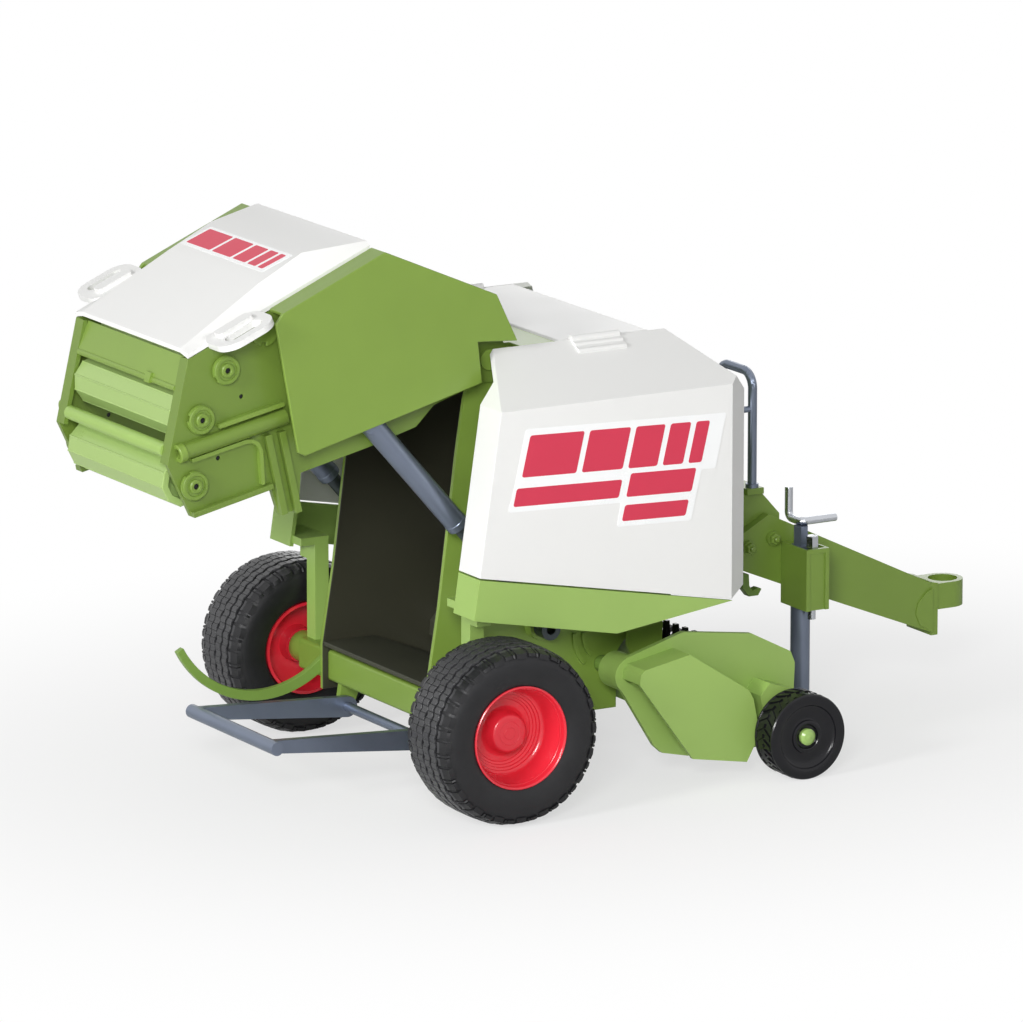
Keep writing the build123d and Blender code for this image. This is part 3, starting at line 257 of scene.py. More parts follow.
def tyre_finish():
    """Soft black plastic; the tread, further from the axle than the side wall, is greyer and shines more.
    Its grey is partly dust and partly painted highlight for the light that the blocks catch.
    """
    finish = Finish("tyre_plastic", IOR=1.45, Specular_IOR_Level=0.42)
    dust = finish.noise(160, 4.0)
    grit = finish.noise(3000, 2.0)
    from_axle = finish.node(
        "ShaderNodeVectorMath", {"operation": "SUBTRACT"}, {0: finish.place(), 1: wheel_centre(0)},
    )
    in_wheel = finish.node(
        "ShaderNodeVectorMath", {"operation": "MULTIPLY"}, {0: from_axle, 1: (1.0, 0.0, 1.0)},
    )
    radius = finish.node("ShaderNodeVectorMath", {"operation": "LENGTH"}, {0: in_wheel}, output=1)
    tread = radius.math("GREATER_THAN", TREAD_FROM_R * MM)
    side_wall = finish.mix(dust, rgba(0.006, 0.006, 0.007), rgba(0.017, 0.017, 0.019))
    # partly dust, partly painted highlight: the tread takes a greyer black than the side wall
    finish.feed("Base Color", finish.mix(tread, side_wall, rgba(0.044, 0.044, 0.047)))
    finish.feed("Roughness", dust * 0.2 + 0.36 - tread * 0.14)
    finish.feed("Normal", finish.bump(grit, 0.35, 0.00006))
    return finish.material


def metal(name, colour, metallic, roughness, scratch=0.3):
    """Metal, or plastic with metal flake, with fine lines drawn along its height."""
    finish = Finish(name, Metallic=metallic)
    cloud = finish.noise(90, 3.0)
    stretched = finish.node("ShaderNodeMapping", None, {"Vector": finish.place(), "Scale": (1.0, 1.0, 0.08)})
    lines = finish.node("ShaderNodeTexNoise", None, {"Vector": stretched, "Scale": 2400.0, "Detail": 2.0})
    darker = rgba(*(c * 0.82 for c in colour))
    finish.feed("Base Color", finish.mix(cloud, darker, rgba(*colour)))
    finish.feed("Roughness", cloud * 0.12 + lines * 0.08 + (roughness - 0.1))
    finish.feed("Normal", finish.bump(lines, scratch, 0.00003))
    return finish.material


TYRE = tyre_finish()
STEEL = metal("plated_steel", (0.62, 0.64, 0.68), 1.0, 0.24)
BLUE_GREY = metal("metallic_plastic", (0.205, 0.240, 0.315), 0.7, 0.34, 0.2)
# painted shade: the cylinders' rods take a dark grey for the shade that they lie in
SHADED_ROD_GREY = metal("shaded_rod_plastic", (0.070, 0.085, 0.095), 0.6, 0.4, 0.2)
FINISHES = {
    "green": GREEN, "dark_green": DARK_GREEN, "white": WHITE, "tyre_rubber": TYRE, "red": RED,
    "steel": STEEL, "blue_grey": BLUE_GREY, "black": BLACK,
}
# painted shade: the chamber walls turn near-black on their inner side
SHADED_CHAMBER_WALL = plastic("chamber_wall_shaded_plastic", (0.205, 0.320, 0.052), 0.36, inside_y=31.3)
GATE_ROLLERS = [f"gate_roller_{number}" for number in range(1, 6)]
OWN_SHADE = [    # finish, nodes
    (SHADED_CHAMBER_WALL, ["chamber_wall_right", "chamber_wall_left"]),
    (CHAMBER_INSIDE_SHADE, ["chamber_floor", "front_rollers"]),
    (PAINTED_LIGHT_GREEN, ["skirt_right", "skirt_left", "pickup_side_right", "pickup_side_left", "gate_crossbar"]),
    (ROLLER_LIT_GREEN, GATE_ROLLERS),
    (SHADED_ROD_GREY, ["strut_rod_right", "strut_rod_left"]),
    (PAINTED_SHADE_GREEN, ["gate_side_right", "gate_side_left"]),
    (CAP_GREEN, ["gauge_cap_right", "gauge_cap_left"]),
]
slot_of = {row["node"]: row["material_slot"] for row in frame["record"]["subparts"]}
for name, node in nodes.items():
    node.data.materials.clear()
    node.data.materials.append(FINISHES[slot_of[name]])
for shade, names in OWN_SHADE:
    for name in names:
        nodes[name].data.materials[0] = shade
print("finishes on", len(nodes), "nodes")

# %% [markdown]
# ## Soft edges for the moulded pieces
#
# CAD edges are perfectly sharp, and no moulded edge is: it has a tiny radius that catches a line of
# light. A copy of the CAD piece is merged into one skin, its flat faces are joined, and a Bevel modifier
# rounds the edges that turn by more than a few degrees. A Weighted Normal modifier then lets the large flat
# faces set the shading, so that they look flat right up to the rounding. The copy stands for the CAD piece.

# %% Rounding helper
SMOOTH_UP_TO = 32        # degrees between two faces that are shaded as one
FLAT_WEIGHT = 90


def only(piece):
    """Selects one object alone and makes it active."""
    if bpy.context.object and bpy.context.object.mode != "OBJECT":
        bpy.ops.object.mode_set(mode="OBJECT")
    bpy.ops.object.select_all(action="DESELECT")
    piece.select_set(True)
    bpy.context.view_layer.objects.active = piece


def apply_all(piece):
    """Applies every modifier, in order."""
    only(piece)
    for modifier in list(piece.modifiers):
        bpy.ops.object.modifier_apply(modifier=modifier.name)


def round_edges(piece, width, angle):
    """Rounds a piece's edges and shades it smooth up to the edges that stay."""
    bevel = piece.modifiers.new("soft edge", "BEVEL")
    bevel.width = width * MM
    bevel.segments = 2
    bevel.limit_method = "ANGLE"
    bevel.angle_limit = math.radians(angle)
    apply_all(piece)
    bpy.ops.object.shade_smooth_by_angle(angle=math.radians(SMOOTH_UP_TO))
    flat = piece.modifiers.new("flat faces", "WEIGHTED_NORMAL")
    flat.keep_sharp = True
    flat.weight = FLAT_WEIGHT
    apply_all(piece)


def soften(node, width, angle=24.0):
    """A rounded copy of a CAD node that stands for it."""
    piece = bpy.data.objects.new(f"{node}_soft", nodes[node].data.copy())
    bpy.context.scene.collection.objects.link(piece)
    only(piece)
    bpy.ops.object.mode_set(mode="EDIT")
    bpy.ops.mesh.select_all(action="SELECT")
    bpy.ops.mesh.remove_doubles(threshold=0.00001)
    bpy.ops.mesh.dissolve_limited(angle_limit=math.radians(0.6))
    bpy.ops.object.mode_set(mode="OBJECT")
    round_edges(piece, width, angle)
    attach(piece, body_of(node))
    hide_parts(node)


# %% Round the moulded pieces
SOFT_EDGES = {    # node: radius in millimetres
    "hood": 0.3, "flap_right": 0.35, "flap_left": 0.35, "roof": 0.3, "front_panel": 0.3, "top_plate": 0.25,
    "shield_right": 0.3, "shield_left": 0.3, "skirt_right": 0.25, "skirt_left": 0.25,
    "gate_side_right": 0.25, "gate_side_left": 0.25, "gate_top_panel": 0.25, "gate_rear_panel": 0.2,
    "gate_crossbar": 0.3, "drawbar": 0.3, "front_bracket": 0.3, "jack_box": 0.2, "hose_hook": 0.2,
    "pickup_side_right": 0.3, "pickup_side_left": 0.3, "pickup_trough": 0.2, "chamber_wall_right": 0.25,
    "chamber_wall_left": 0.25, "chamber_floor": 0.25, "axle_beam": 0.3, "guide_arm_left": 0.25,
    "bale_ramp": 0.25, "pickup_reel": 0.15, "front_rollers": 0.3,
}
for node, width in SOFT_EDGES.items():
    soften(node, width)
for node in GATE_ROLLERS:
    soften(node, 0.3)
BENT_RODS = ["guard_hoop", "jack_crank"]    # only the sharp corners at their ends are rounded
for node in BENT_RODS:
    soften(node, 0.2, angle=50.0)
print("rounded", len(SOFT_EDGES) + len(GATE_ROLLERS) + len(BENT_RODS), "pieces")

# %% [markdown]
# ## Making a round part from its outline
#
# Wheels, hubs and nuts are turned shapes. A circle primitive has its points in order round a ring, so its
# points are laid on the part's outline, each with a distance out along the axle and a radius, and the Spin
# operator takes that outline once round the axle. The first and last steps are merged, and the normals are
# worked out again, because a spin doesn't know which side is the outside.

# %% Helpers for new pieces
def in_edit_mode(piece):
    """Opens one piece for editing, with all of it selected."""
    only(piece)
    bpy.ops.object.mode_set(mode="EDIT")
    bpy.ops.mesh.select_all(action="SELECT")


def clean_up(piece):
    """Merges doubles, drops loose edges and turns the faces outwards."""
    in_edit_mode(piece)
    bpy.ops.mesh.remove_doubles(threshold=0.000004)
    bpy.ops.mesh.delete_loose(use_verts=True, use_edges=True, use_faces=False)
    bpy.ops.mesh.select_all(action="SELECT")
    bpy.ops.mesh.normals_make_consistent(inside=False)
    bpy.ops.object.mode_set(mode="OBJECT")


def turned(name, outline, centre, axis, steps):
    """A turned piece: an outline of (distance along the axis, radius) in millimetres, spun round the axis."""
    side = Vector((0, 0, 1)) if abs(axis.z) < 0.9 else Vector((1, 0, 0))
    side = (side - axis * side.dot(axis)).normalized()
    bpy.ops.object.select_all(action="DESELECT")
    bpy.ops.mesh.primitive_circle_add(vertices=len(outline), radius=MM)
    piece = bpy.context.object
    piece.name = name
    for vertex, (out, radius) in zip(piece.data.vertices, outline):
        vertex.co = centre + axis * out * MM + side * radius * MM
    in_edit_mode(piece)
    bpy.ops.mesh.spin(steps=steps, angle=math.tau, center=centre, axis=axis)
    bpy.ops.object.mode_set(mode="OBJECT")
    clean_up(piece)
    return piece


def spun(name, outline, centre, hand, steps):
    """A turned piece on a shaft that lies across the toy, its outside towards one hand."""
    return turned(name, outline, centre, Vector((0, hand, 0)), steps)


def finish_piece(piece, body, material, stands_for=None, smooth=32.0):
    """Moves a piece's place into its mesh, and gives it a finish and the body that it moves with."""
    only(piece)
    bpy.ops.object.transform_apply(location=True, rotation=True, scale=True)
    bpy.ops.object.shade_smooth_by_angle(angle=math.radians(smooth))
    piece.data.materials.clear()
    piece.data.materials.append(material)
    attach(piece, body)
    if stands_for:
        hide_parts(stands_for)


def copy_of(piece, name):
    """A copy with a mesh of its own."""
    twin = bpy.data.objects.new(name, piece.data.copy())
    bpy.context.scene.collection.objects.link(twin)
    return twin


def joined(name, pieces):
    """One piece made of several."""
    bpy.ops.object.select_all(action="DESELECT")
    for piece in pieces:
        piece.select_set(True)
    bpy.context.view_layer.objects.active = pieces[0]
    bpy.ops.object.join()
    pieces[0].name = name
    return pieces[0]


# %% [markdown]
# ## The main tyres
#
# A baler's tyre is wide and low, with ribs that zigzag round it and open lugs at its shoulders. The smooth
# body is spun. One slice of the tread, a twentieth of the way round, is modelled from boxes: each is cut
# across its middle, the cut is pushed sideways for the zigzag, and the top is inset so that its edge
# catches light. The lugs' outer ends are drawn in to follow the round shoulder. An Array modifier then
# turns the slice round the axle, with an empty that gives the turn.

# %% Tyre body
TREAD_DEPTH = 0.75
body_r = TYRE_R - TREAD_DEPTH
TYRE_HALF_OUTLINE = [
    (9.4, 14.5), (10.5, 15.3), (11.35, 17.2), (11.8, 19.9), (11.75, 22.4), (11.25, 24.2), (10.5, 25.3),
    (9.3, body_r - 0.4), (5.0, body_r - 0.1), (0.0, body_r),
]
tyre_outline = TYRE_HALF_OUTLINE + [(-out, radius) for out, radius in TYRE_HALF_OUTLINE[-2::-1]]
tyre_body = spun("tyre_body", tyre_outline, wheel_centre(-1), -1, 96)
print("tyre body:", len(tyre_body.data.polygons), "faces")

# %% Tread slice
SLICES = 20
BLOCKS_IN_SLICE = 4
INNER_RIBS = (-5.4, -1.8, 1.8, 5.4)    # places across the tyre
RIB_WIDTH, RIB_LENGTH = 2.85, 2.0
ZIGZAG = 0.85
SHOULDER_LUGS = [(0.0, 3.3, 24.0), (8.3, 2.4, 24.6), (12.4, 0.75, 24.6)]     # turn, length, foot radius
LUG_Y, LUG_WIDTH = 9.25, 3.6
LUG_PUSH = 0.3           # outwards at the lug's middle
SHOULDER_Y = 10.3        # a lug's outer end lies further out than this
TOP_FROM_R = 25.8        # its corners beyond this radius are its top,
SHOULDER_R = 25.55       # which comes in to this radius,
FOOT_OUT = 0.42          # and its foot goes this much further out


def crown(across):
    """Radius of the tread's top at a distance from the middle of the tyre."""
    return TYRE_R - 0.55 * (across / 9.5) ** 2


def tread_block(across, width, length, top, foot, push, turn):
    """One block on top of the tyre, turned by some degrees round the axle."""
    bpy.ops.object.select_all(action="DESELECT")
    bpy.ops.mesh.primitive_cube_add(size=1.0, location=(0, across * MM, (top + foot) / 2 * MM))
    block = bpy.context.object
    block.scale = (length * MM, width * MM, (top - foot) * MM)
    bpy.ops.object.transform_apply(location=True, rotation=False, scale=True)
    in_edit_mode(block)
    bpy.ops.mesh.bisect(plane_co=(0, 0, 0), plane_no=(1, 0, 0))
    bpy.ops.object.mode_set(mode="OBJECT")
    for vertex in block.data.vertices:
        if abs(vertex.co.x) < 0.00001:
            vertex.co.y += push * MM
    for face in block.data.polygons:
        face.select = face.normal.z > 0.9
    bpy.ops.object.mode_set(mode="EDIT")
    bpy.ops.mesh.select_mode(type="FACE")
    bpy.ops.mesh.inset(thickness=0.16 * MM, depth=0.10 * MM)
    bpy.ops.object.mode_set(mode="OBJECT")
    block.rotation_euler = (0, math.radians(turn), 0)
    bpy.ops.object.transform_apply(location=False, rotation=True, scale=False)
    return block


blocks = []
for number in range(BLOCKS_IN_SLICE):
    push = ZIGZAG / 2 if number % 2 else -ZIGZAG / 2
    for across in INNER_RIBS:
        turn = (number + 0.5 * (across > 0)) * 360 / BLOCKS_IN_SLICE / SLICES
        top, foot = crown(across) - 0.1, body_r - 0.7
        blocks.append(tread_block(across, RIB_WIDTH, RIB_LENGTH, top, foot, push, turn))
for hand in (-1, 1):
    for turn, length, foot in SHOULDER_LUGS:
        lug = tread_block(hand * LUG_Y, LUG_WIDTH, length, crown(9.0) - 0.1, foot, hand * LUG_PUSH, turn)
        for vertex in lug.data.vertices:
            distance = math.hypot(vertex.co.x, vertex.co.z)
            if abs(vertex.co.y) > SHOULDER_Y * MM and distance > TOP_FROM_R * MM:
                vertex.co.z *= SHOULDER_R * MM / distance
                vertex.co.x *= SHOULDER_R * MM / distance
            elif abs(vertex.co.y) > SHOULDER_Y * MM:
                vertex.co.y += hand * FOOT_OUT * MM
        blocks.append(lug)
tread = joined("tread", blocks)
print("tread slice:", len(tread.data.polygons), "faces")

# %% Tread all the way round
tread.location = wheel_centre(-1)
bpy.ops.object.empty_add(location=wheel_centre(-1), rotation=(0, math.radians(360 / SLICES), 0))
turner = bpy.context.object
turner.name = "tread_turner"
ring = tread.modifiers.new("ring", "ARRAY")
ring.use_relative_offset = False
ring.use_object_offset = True
ring.offset_object = turner
ring.count = SLICES
apply_all(tread)
bpy.ops.object.transform_apply(location=True, rotation=True, scale=True)
bpy.data.objects.remove(turner)
tyre = joined("tyre_tread_right", [tyre_body, tread])
left_tyre = copy_of(tyre, "tyre_tread_left")
for vertex in left_tyre.data.vertices:
    vertex.co.y += 2 * WHEEL_Y * MM
finish_piece(tyre, "wheel_right", TYRE, "tyre_right", smooth=28)
finish_piece(left_tyre, "wheel_left", TYRE, "tyre_left", smooth=28)
print("tyre:", len(tyre.data.polygons), "faces")

# %% [markdown]
# ## The red rims
#
# The rim is one glossy moulding: a rolled lip, a deep dish that steps inwards in rings, and a hub like a
# flat-topped drum with fine turned rings. All of it is one outline, spun with many steps because its
# highlights show every flat.

# %% Rims
RIM_OUTLINE = [    # distance out from the middle of the tyre, radius
    (9.5, 14.6), (9.6, 15.1), (10.5, 15.6), (11.1, 15.55), (11.3, 15.3), (11.2, 15.0), (10.8, 14.75),
    (10.2, 14.6), (7.2, 14.05), (6.7, 13.75), (3.0, 13.1), (2.0, 12.5), (1.75, 11.9), (1.3, 11.75),
    (1.15, 11.1), (0.75, 10.95), (0.6, 10.3), (0.25, 10.15), (0.1, 9.5), (-0.2, 9.3), (-0.3, 7.9),
    (-0.2, 7.3), (0.3, 6.7), (0.9, 6.3), (3.9, 5.85), (4.35, 5.5), (4.6, 5.0), (4.6, 3.5), (4.5, 3.4),
    (4.5, 1.8), (4.6, 1.7), (4.6, 0.0), (-5.9, 0.0), (-5.9, 5.2), (-2.0, 5.8), (-2.0, 9.0), (-3.6, 13.0),
    (-9.3, 13.0), (-10.1, 13.5), (-10.0, 14.4), (-9.3, 14.35), (9.3, 14.35),
]
for side_name, hand in SIDES.items():
    rim = spun(f"rim_dish_{side_name}", RIM_OUTLINE, wheel_centre(hand), hand, 96)
    finish_piece(rim, f"wheel_{side_name}", RED, f"rim_{side_name}", smooth=40)
print("rim:", len(rim.data.polygons), "faces")

# %% [markdown]
# ## The pick-up's gauge wheels
#
# Each small wheel is one glossy black moulding: a flat outer ring, a step down to a dished disc, and a
# hub well round the green cap. Slanted lugs in two rows make its tread.

# %% Gauge wheels
GAUGE_OUTLINE = [
    (3.9, 12.75), (4.1, 13.05), (4.55, 13.05), (4.9, 12.8), (5.0, 12.4), (5.0, 10.1), (4.85, 9.8),
    (4.5, 9.7), (4.15, 9.45), (3.85, 8.9), (3.7, 5.6), (3.85, 5.15), (4.35, 4.95), (4.5, 4.7), (4.5, 4.0),
    (4.3, 3.75), (3.7, 3.6), (3.55, 3.4), (3.55, 1.75), (-3.0, 1.75), (-4.9, 1.9), (-5.0, 2.2),
    (-5.0, 3.8), (-4.8, 4.0), (-3.2, 4.2), (-3.1, 10.0), (-4.8, 10.3), (-5.0, 10.6), (-5.0, 12.4),
    (-4.9, 12.8), (-4.55, 13.05), (-4.1, 13.05), (-3.9, 12.75),
]
GAUGE_LUGS = 26
GAUGE_LUG_SIZE = (1.1, 3.6, 0.6)
LUG_ROWS = ((-1.95, 0.55), (1.95, -0.55))    # place across the wheel, slant
LUG_FOOT, LUG_MIDDLE, LUG_TOP = 12.5, 12.85, 13.12    # radii


def gauge_lug(across, slant, turn, centre):
    """One slanted lug of a gauge wheel's tread, in its place on the wheel."""
    bpy.ops.object.select_all(action="DESELECT")
    bpy.ops.mesh.primitive_cube_add(size=1.0, location=(0, across * MM, LUG_MIDDLE * MM))
    lug = bpy.context.object
    lug.scale = [length * MM for length in GAUGE_LUG_SIZE]
    bpy.ops.object.transform_apply(location=True, rotation=False, scale=True)
    for vertex in lug.data.vertices:
        vertex.co.x += slant * (vertex.co.y - across * MM)
        vertex.co.z = (LUG_TOP if vertex.co.z > LUG_MIDDLE * MM else LUG_FOOT) * MM
    lug.rotation_euler = (0, math.radians(turn), 0)
    bpy.ops.object.transform_apply(location=False, rotation=True, scale=False)
    lug.location = centre
    bpy.ops.object.transform_apply(location=True, rotation=False, scale=False)
    return lug


for side_name, hand in SIDES.items():
    centre = at(GAUGE_X, hand * GAUGE_Y, GAUGE_R)
    parts = [spun(f"gauge_disc_{side_name}", GAUGE_OUTLINE, centre, hand, 80)]
    for number in range(GAUGE_LUGS):
        for across, slant in LUG_ROWS:
            turn = (number + (across > 0) / 2) * 360 / GAUGE_LUGS
            parts.append(gauge_lug(across, slant, turn, centre))
    gauge = joined(f"gauge_dish_{side_name}", parts)
    finish_piece(gauge, f"gauge_{side_name}", BLACK, f"gauge_wheel_{side_name}", smooth=34)
print("gauge wheel:", len(gauge.data.polygons), "faces")

# %% [markdown]
# ## Stickers
#
# The toy has a white vinyl sticker on each side flap and one on the hood. Here they carry plain slanted
# bars. A sticker is its outline, laid point by point on a filled circle primitive, with its corners
# rounded by a vertex bevel. It is then pushed out by about a tenth of a millimetre. The bars are made in
# the same way.

# %% Sticker helper
def sheet_piece(name, outline, corner, origin, along, up, lift, thickness):
    """A thin plate with rounded corners: an outline in millimetres on a plane through an origin."""
    normal = along.cross(up).normalized()
    bpy.ops.object.select_all(action="DESELECT")
    bpy.ops.mesh.primitive_circle_add(vertices=len(outline), radius=MM, fill_type="NGON")
    plate = bpy.context.object
    plate.name = name
    for vertex, (u, v) in zip(plate.data.vertices, outline):
        vertex.co = origin + along * u * MM + up * v * MM + normal * lift * MM
    in_edit_mode(plate)
    bpy.ops.mesh.bevel(offset=corner * MM, segments=3, affect="VERTICES")
    bpy.ops.mesh.select_all(action="SELECT")
    bpy.ops.mesh.extrude_region_move(TRANSFORM_OT_translate={"value": normal * thickness * MM})
    bpy.ops.mesh.select_all(action="SELECT")
    bpy.ops.mesh.normals_make_consistent(inside=False)
    bpy.ops.object.mode_set(mode="OBJECT")
    return plate


def slanted(left, bottom, width, height, lean):
    """Outline of a bar whose top leans forward."""
    shift, right, top = height * lean, left + width, bottom + height
    return [(left, bottom), (right, bottom), (right + shift, top), (left + shift, top)]


# %% Flap stickers
STICKER_TILT = 0.037
SHEET_LIFT, BAR_LIFT = 0.02, 0.08    # off the flap
VINYL_T = 0.10
STICKER_SHEET = [    # forward along the flap, up
    (0.0, 0.0), (1.9, 7.6), (5.2, 24.6), (74.0, 24.6), (70.9, 8.0), (66.0, 8.0), (63.0, -7.2),
    (37.4, -7.2), (38.6, 0.0),
]
STICKER_BARS = [     # left, bottom, width, height
    (4.2, 10.2, 18.5, 12.4), (24.6, 10.2, 14.0, 12.4), (40.5, 10.2, 10.0, 12.4), (52.4, 10.2, 7.0, 12.4),
    (61.3, 10.2, 4.6, 12.4), (1.6, 1.6, 36.0, 5.4), (40.2, 1.6, 22.6, 7.0), (39.0, -5.6, 22.0, 4.8),
]
for side_name, hand in SIDES.items():
    along = Vector((-hand, 0, hand * STICKER_TILT)).normalized()
    up = Vector((STICKER_TILT, 0, 1)).normalized()
    corner_at = at(2.9, -FLAP_Y, 92.0) if hand < 0 else at(72.0, FLAP_Y, 89.5)
    sheet = sheet_piece(
        f"flap_sticker_{side_name}", STICKER_SHEET, 0.8, corner_at, along, up, SHEET_LIFT, VINYL_T,
    )
    finish_piece(sheet, f"flap_{side_name}", STICKER, smooth=20)
    bars = []
    for number, bar in enumerate(STICKER_BARS):
        outline = slanted(*bar, 0.2)
        bars.append(
            sheet_piece(f"bar_{side_name}_{number}", outline, 0.7, corner_at, along, up, BAR_LIFT, VINYL_T)
        )
    finish_piece(joined(f"flap_stripes_{side_name}", bars), f"flap_{side_name}", INK, smooth=20)
print("stickers with", len(STICKER_BARS), "bars each")

# %% Hood sticker
FOLD_REAR, FOLD_FRONT = (-61.0, 161.2), (-46.5, 168.6)    # the hood's folds, x and height
HOOD_SLOPE = (FOLD_FRONT[1] - FOLD_REAR[1]) / (FOLD_FRONT[0] - FOLD_REAR[0])
STICKER_X = -52.6
HOOD_BAR_LIFT, HOOD_VINYL_T = 0.06, 0.08
hood_up = Vector((1, 0, HOOD_SLOPE)).normalized()
hood_along = Vector((0, -1, 0))
HOOD_SHEET = [(-27.2, -5.2), (23.0, -5.2), (25.7, 4.8), (-24.4, 4.8)]
hood_middle = at(STICKER_X, 0, FOLD_FRONT[1] - (FOLD_FRONT[0] - STICKER_X) * HOOD_SLOPE)
sheet = sheet_piece(
    "hood_sticker", HOOD_SHEET, 0.5, hood_middle, hood_along, hood_up, SHEET_LIFT, HOOD_VINYL_T,
)
finish_piece(sheet, "tailgate", STICKER, smooth=20)
HOOD_BARS = [(-25.4, 14.4), (-9.6, 11.2), (3.0, 7.6), (12.0, 4.8), (18.2, 3.0)]    # left, width
bars = []
for number, (left, width) in enumerate(HOOD_BARS):
    outline = slanted(left, -4.0, width, 7.8, 0.27)
    bar = sheet_piece(
        f"hood_bar_{number}", outline, 0.5, hood_middle, hood_along, hood_up, HOOD_BAR_LIFT, HOOD_VINYL_T,
    )
    bars.append(bar)
finish_piece(joined("hood_stripes", bars), "tailgate", INK, smooth=20)
print("hood sticker laid")

# %% [markdown]
# ## Roller hubs and beads
#
# The ends of the tailgate's rollers have a raised ring and a round hub in their green discs, and a black
# disc in the hub's hole is painted shade. Each is an outline spun on the roller's shaft. A moulded roller
# also has a thin bright line along each of its ten edges, so a slim round bead is laid there, in the drum's
# painted-light green. All of them turn with the roller.

# %% Roller hubs
OPEN_ROLLERS = [(-87.0, 105.3), (-84.7, 124.6), (-76.3, 138.4)]    # the three that show, x and height
SLIP, DISC_T = 0.3, 1.3    # gap beside the wall, thickness of a disc
DISC_FACE = GATE_Y + SLIP + DISC_T
HUB_OUTLINE = [(-0.4, 0.85), (0.7, 0.85), (0.95, 1.1), (0.95, 1.8), (0.7, 2.1), (-0.4, 2.1)]
HOLE_SHADE_OUTLINE = [(-0.3, 0.0), (0.15, 0.0), (0.15, 0.9), (-0.3, 0.9)]
RING_OUTLINE = [(-0.3, 3.0), (0.25, 3.0), (0.45, 3.15), (0.45, 3.95), (0.25, 4.15), (-0.3, 4.15)]
for number, (x, z) in enumerate(OPEN_ROLLERS, 1):
    for side_name, hand in SIDES.items():
        centre = at(x, hand * DISC_FACE, z)
        parts = [spun(f"roller_hub_{number}_{side_name}", HUB_OUTLINE, centre, hand, 32)]
        parts.append(spun("hub_ring", RING_OUTLINE, centre, hand, 40))
        hub = joined(f"roller_hub_{number}_{side_name}", parts)
        finish_piece(hub, f"roller_{number}", ROLLER_LIT_GREEN)
        # painted shade: a black disc in the hub's hole stands for the dark inside it
        hole = spun(f"roller_hole_shade_{number}_{side_name}", HOLE_SHADE_OUTLINE, centre, hand, 24)
        finish_piece(hole, f"roller_{number}", BLACK)
print("roller hubs on both sides")

# %% Edge beads of the rollers
DRUM_R, DRUM_SIDES, DRUM_HALF = 7.4, 10, 29.4
DRUM_TURN = 9            # degrees from one roller to the next
BEAD_R, BEAD_SINK = 0.32, 0.2
BEAD_OUTLINE = [(-DRUM_HALF, 0.0), (-DRUM_HALF, BEAD_R), (DRUM_HALF, BEAD_R), (DRUM_HALF, 0.0)]
reach = DRUM_R - BEAD_SINK
for number, (x, z) in enumerate(OPEN_ROLLERS, 1):
    beads = []
    for corner in range(DRUM_SIDES):
        angle = math.radians(DRUM_TURN * number + 360 * corner / DRUM_SIDES)
        edge = at(x + reach * math.cos(angle), 0, z + reach * math.sin(angle))
        beads.append(spun("bead", BEAD_OUTLINE, edge, 1, 8))
    finish_piece(joined(f"roller_beads_{number}", beads), f"roller_{number}", ROLLER_LIT_GREEN, smooth=50)
print(DRUM_SIDES, "beads on each open roller")

# %% [markdown]
# ## Ribs on the tailgate's sides
#
# A moulded side wall is stiffened by thin ribs that stand on it. A rib is drawn as a line of points in the
# plane of the wall and widened to both sides, so that it can bend, and the outline becomes a plate by the
# same helper as the stickers. A collar is turned round the end of the hollow tube, and black discs in the
# small holes are painted shade, for the dark that is seen through them.

# %% Ribs, collars and painted shade in the holes
def ribbon(points, width):
    """Outline of a rib of a width that follows some points."""
    left, right = [], []
    for index, (x, z) in enumerate(points):
        before, after = points[max(index - 1, 0)], points[min(index + 1, len(points) - 1)]
        dx, dz = after[0] - before[0], after[1] - before[1]
        nx, nz = -dz / math.hypot(dx, dz) * width / 2, dx / math.hypot(dx, dz) * width / 2
        left.append((x + nx, z + nz))
        right.append((x - nx, z - nz))
    return left + right[::-1]


def side_plate(name, outline, corner, hand, foot, top):
    """A plate on a side wall: its outline in (x, z), and how far its foot and its top are off the middle."""
    flipped = [(-hand * x, z) for x, z in outline]
    along, up = Vector((-hand, 0, 0)), Vector((0, 0, 1))
    return sheet_piece(name, flipped, corner, at(0, hand * foot, 0), along, up, 0, top - foot)


RIB_FOOT = GATE_Y - 0.2
POCKET_TOP, RAIL_TOP = GATE_Y + 1.7, GATE_Y + 2.0
POCKET_RIB = [(-88.0, 112.9), (-70.2, 116.6), (-68.0, 116.5), (-66.2, 115.4), (-65.2, 113.4), (-64.6, 103.2)]
UPPER_RAIL = [(-79.2, 122.1), (-57.6, 126.5)]
TUBE_START, TUBE_END = (-92.3, 115.3), (-57.0, 122.6)
TUBE_Y = GATE_Y + 1.0
COLLAR_OUTLINE = [(-0.1, 1.5), (-0.25, 1.7), (-0.25, 2.5), (0.0, 2.75), (1.9, 2.75), (2.2, 2.4), (2.2, 1.5)]
SMALL_HOLES = [(-70.8, 129.8), (-78.6, 112.4)]
HOLE_SHADE_DISC_OUTLINE = [(-1.5, 0.0), (-0.45, 0.0), (-0.45, 0.72), (-1.5, 0.72)]
CATCH = [(-91.3, 132.5), (-89.0, 132.5), (-88.4, 135.2), (-90.4, 135.6)]
CATCH_FROM, CATCH_TO = 12.9, 16.1
tube_axis = (at(TUBE_END[0], 0, TUBE_END[1]) - at(TUBE_START[0], 0, TUBE_START[1])).normalized()
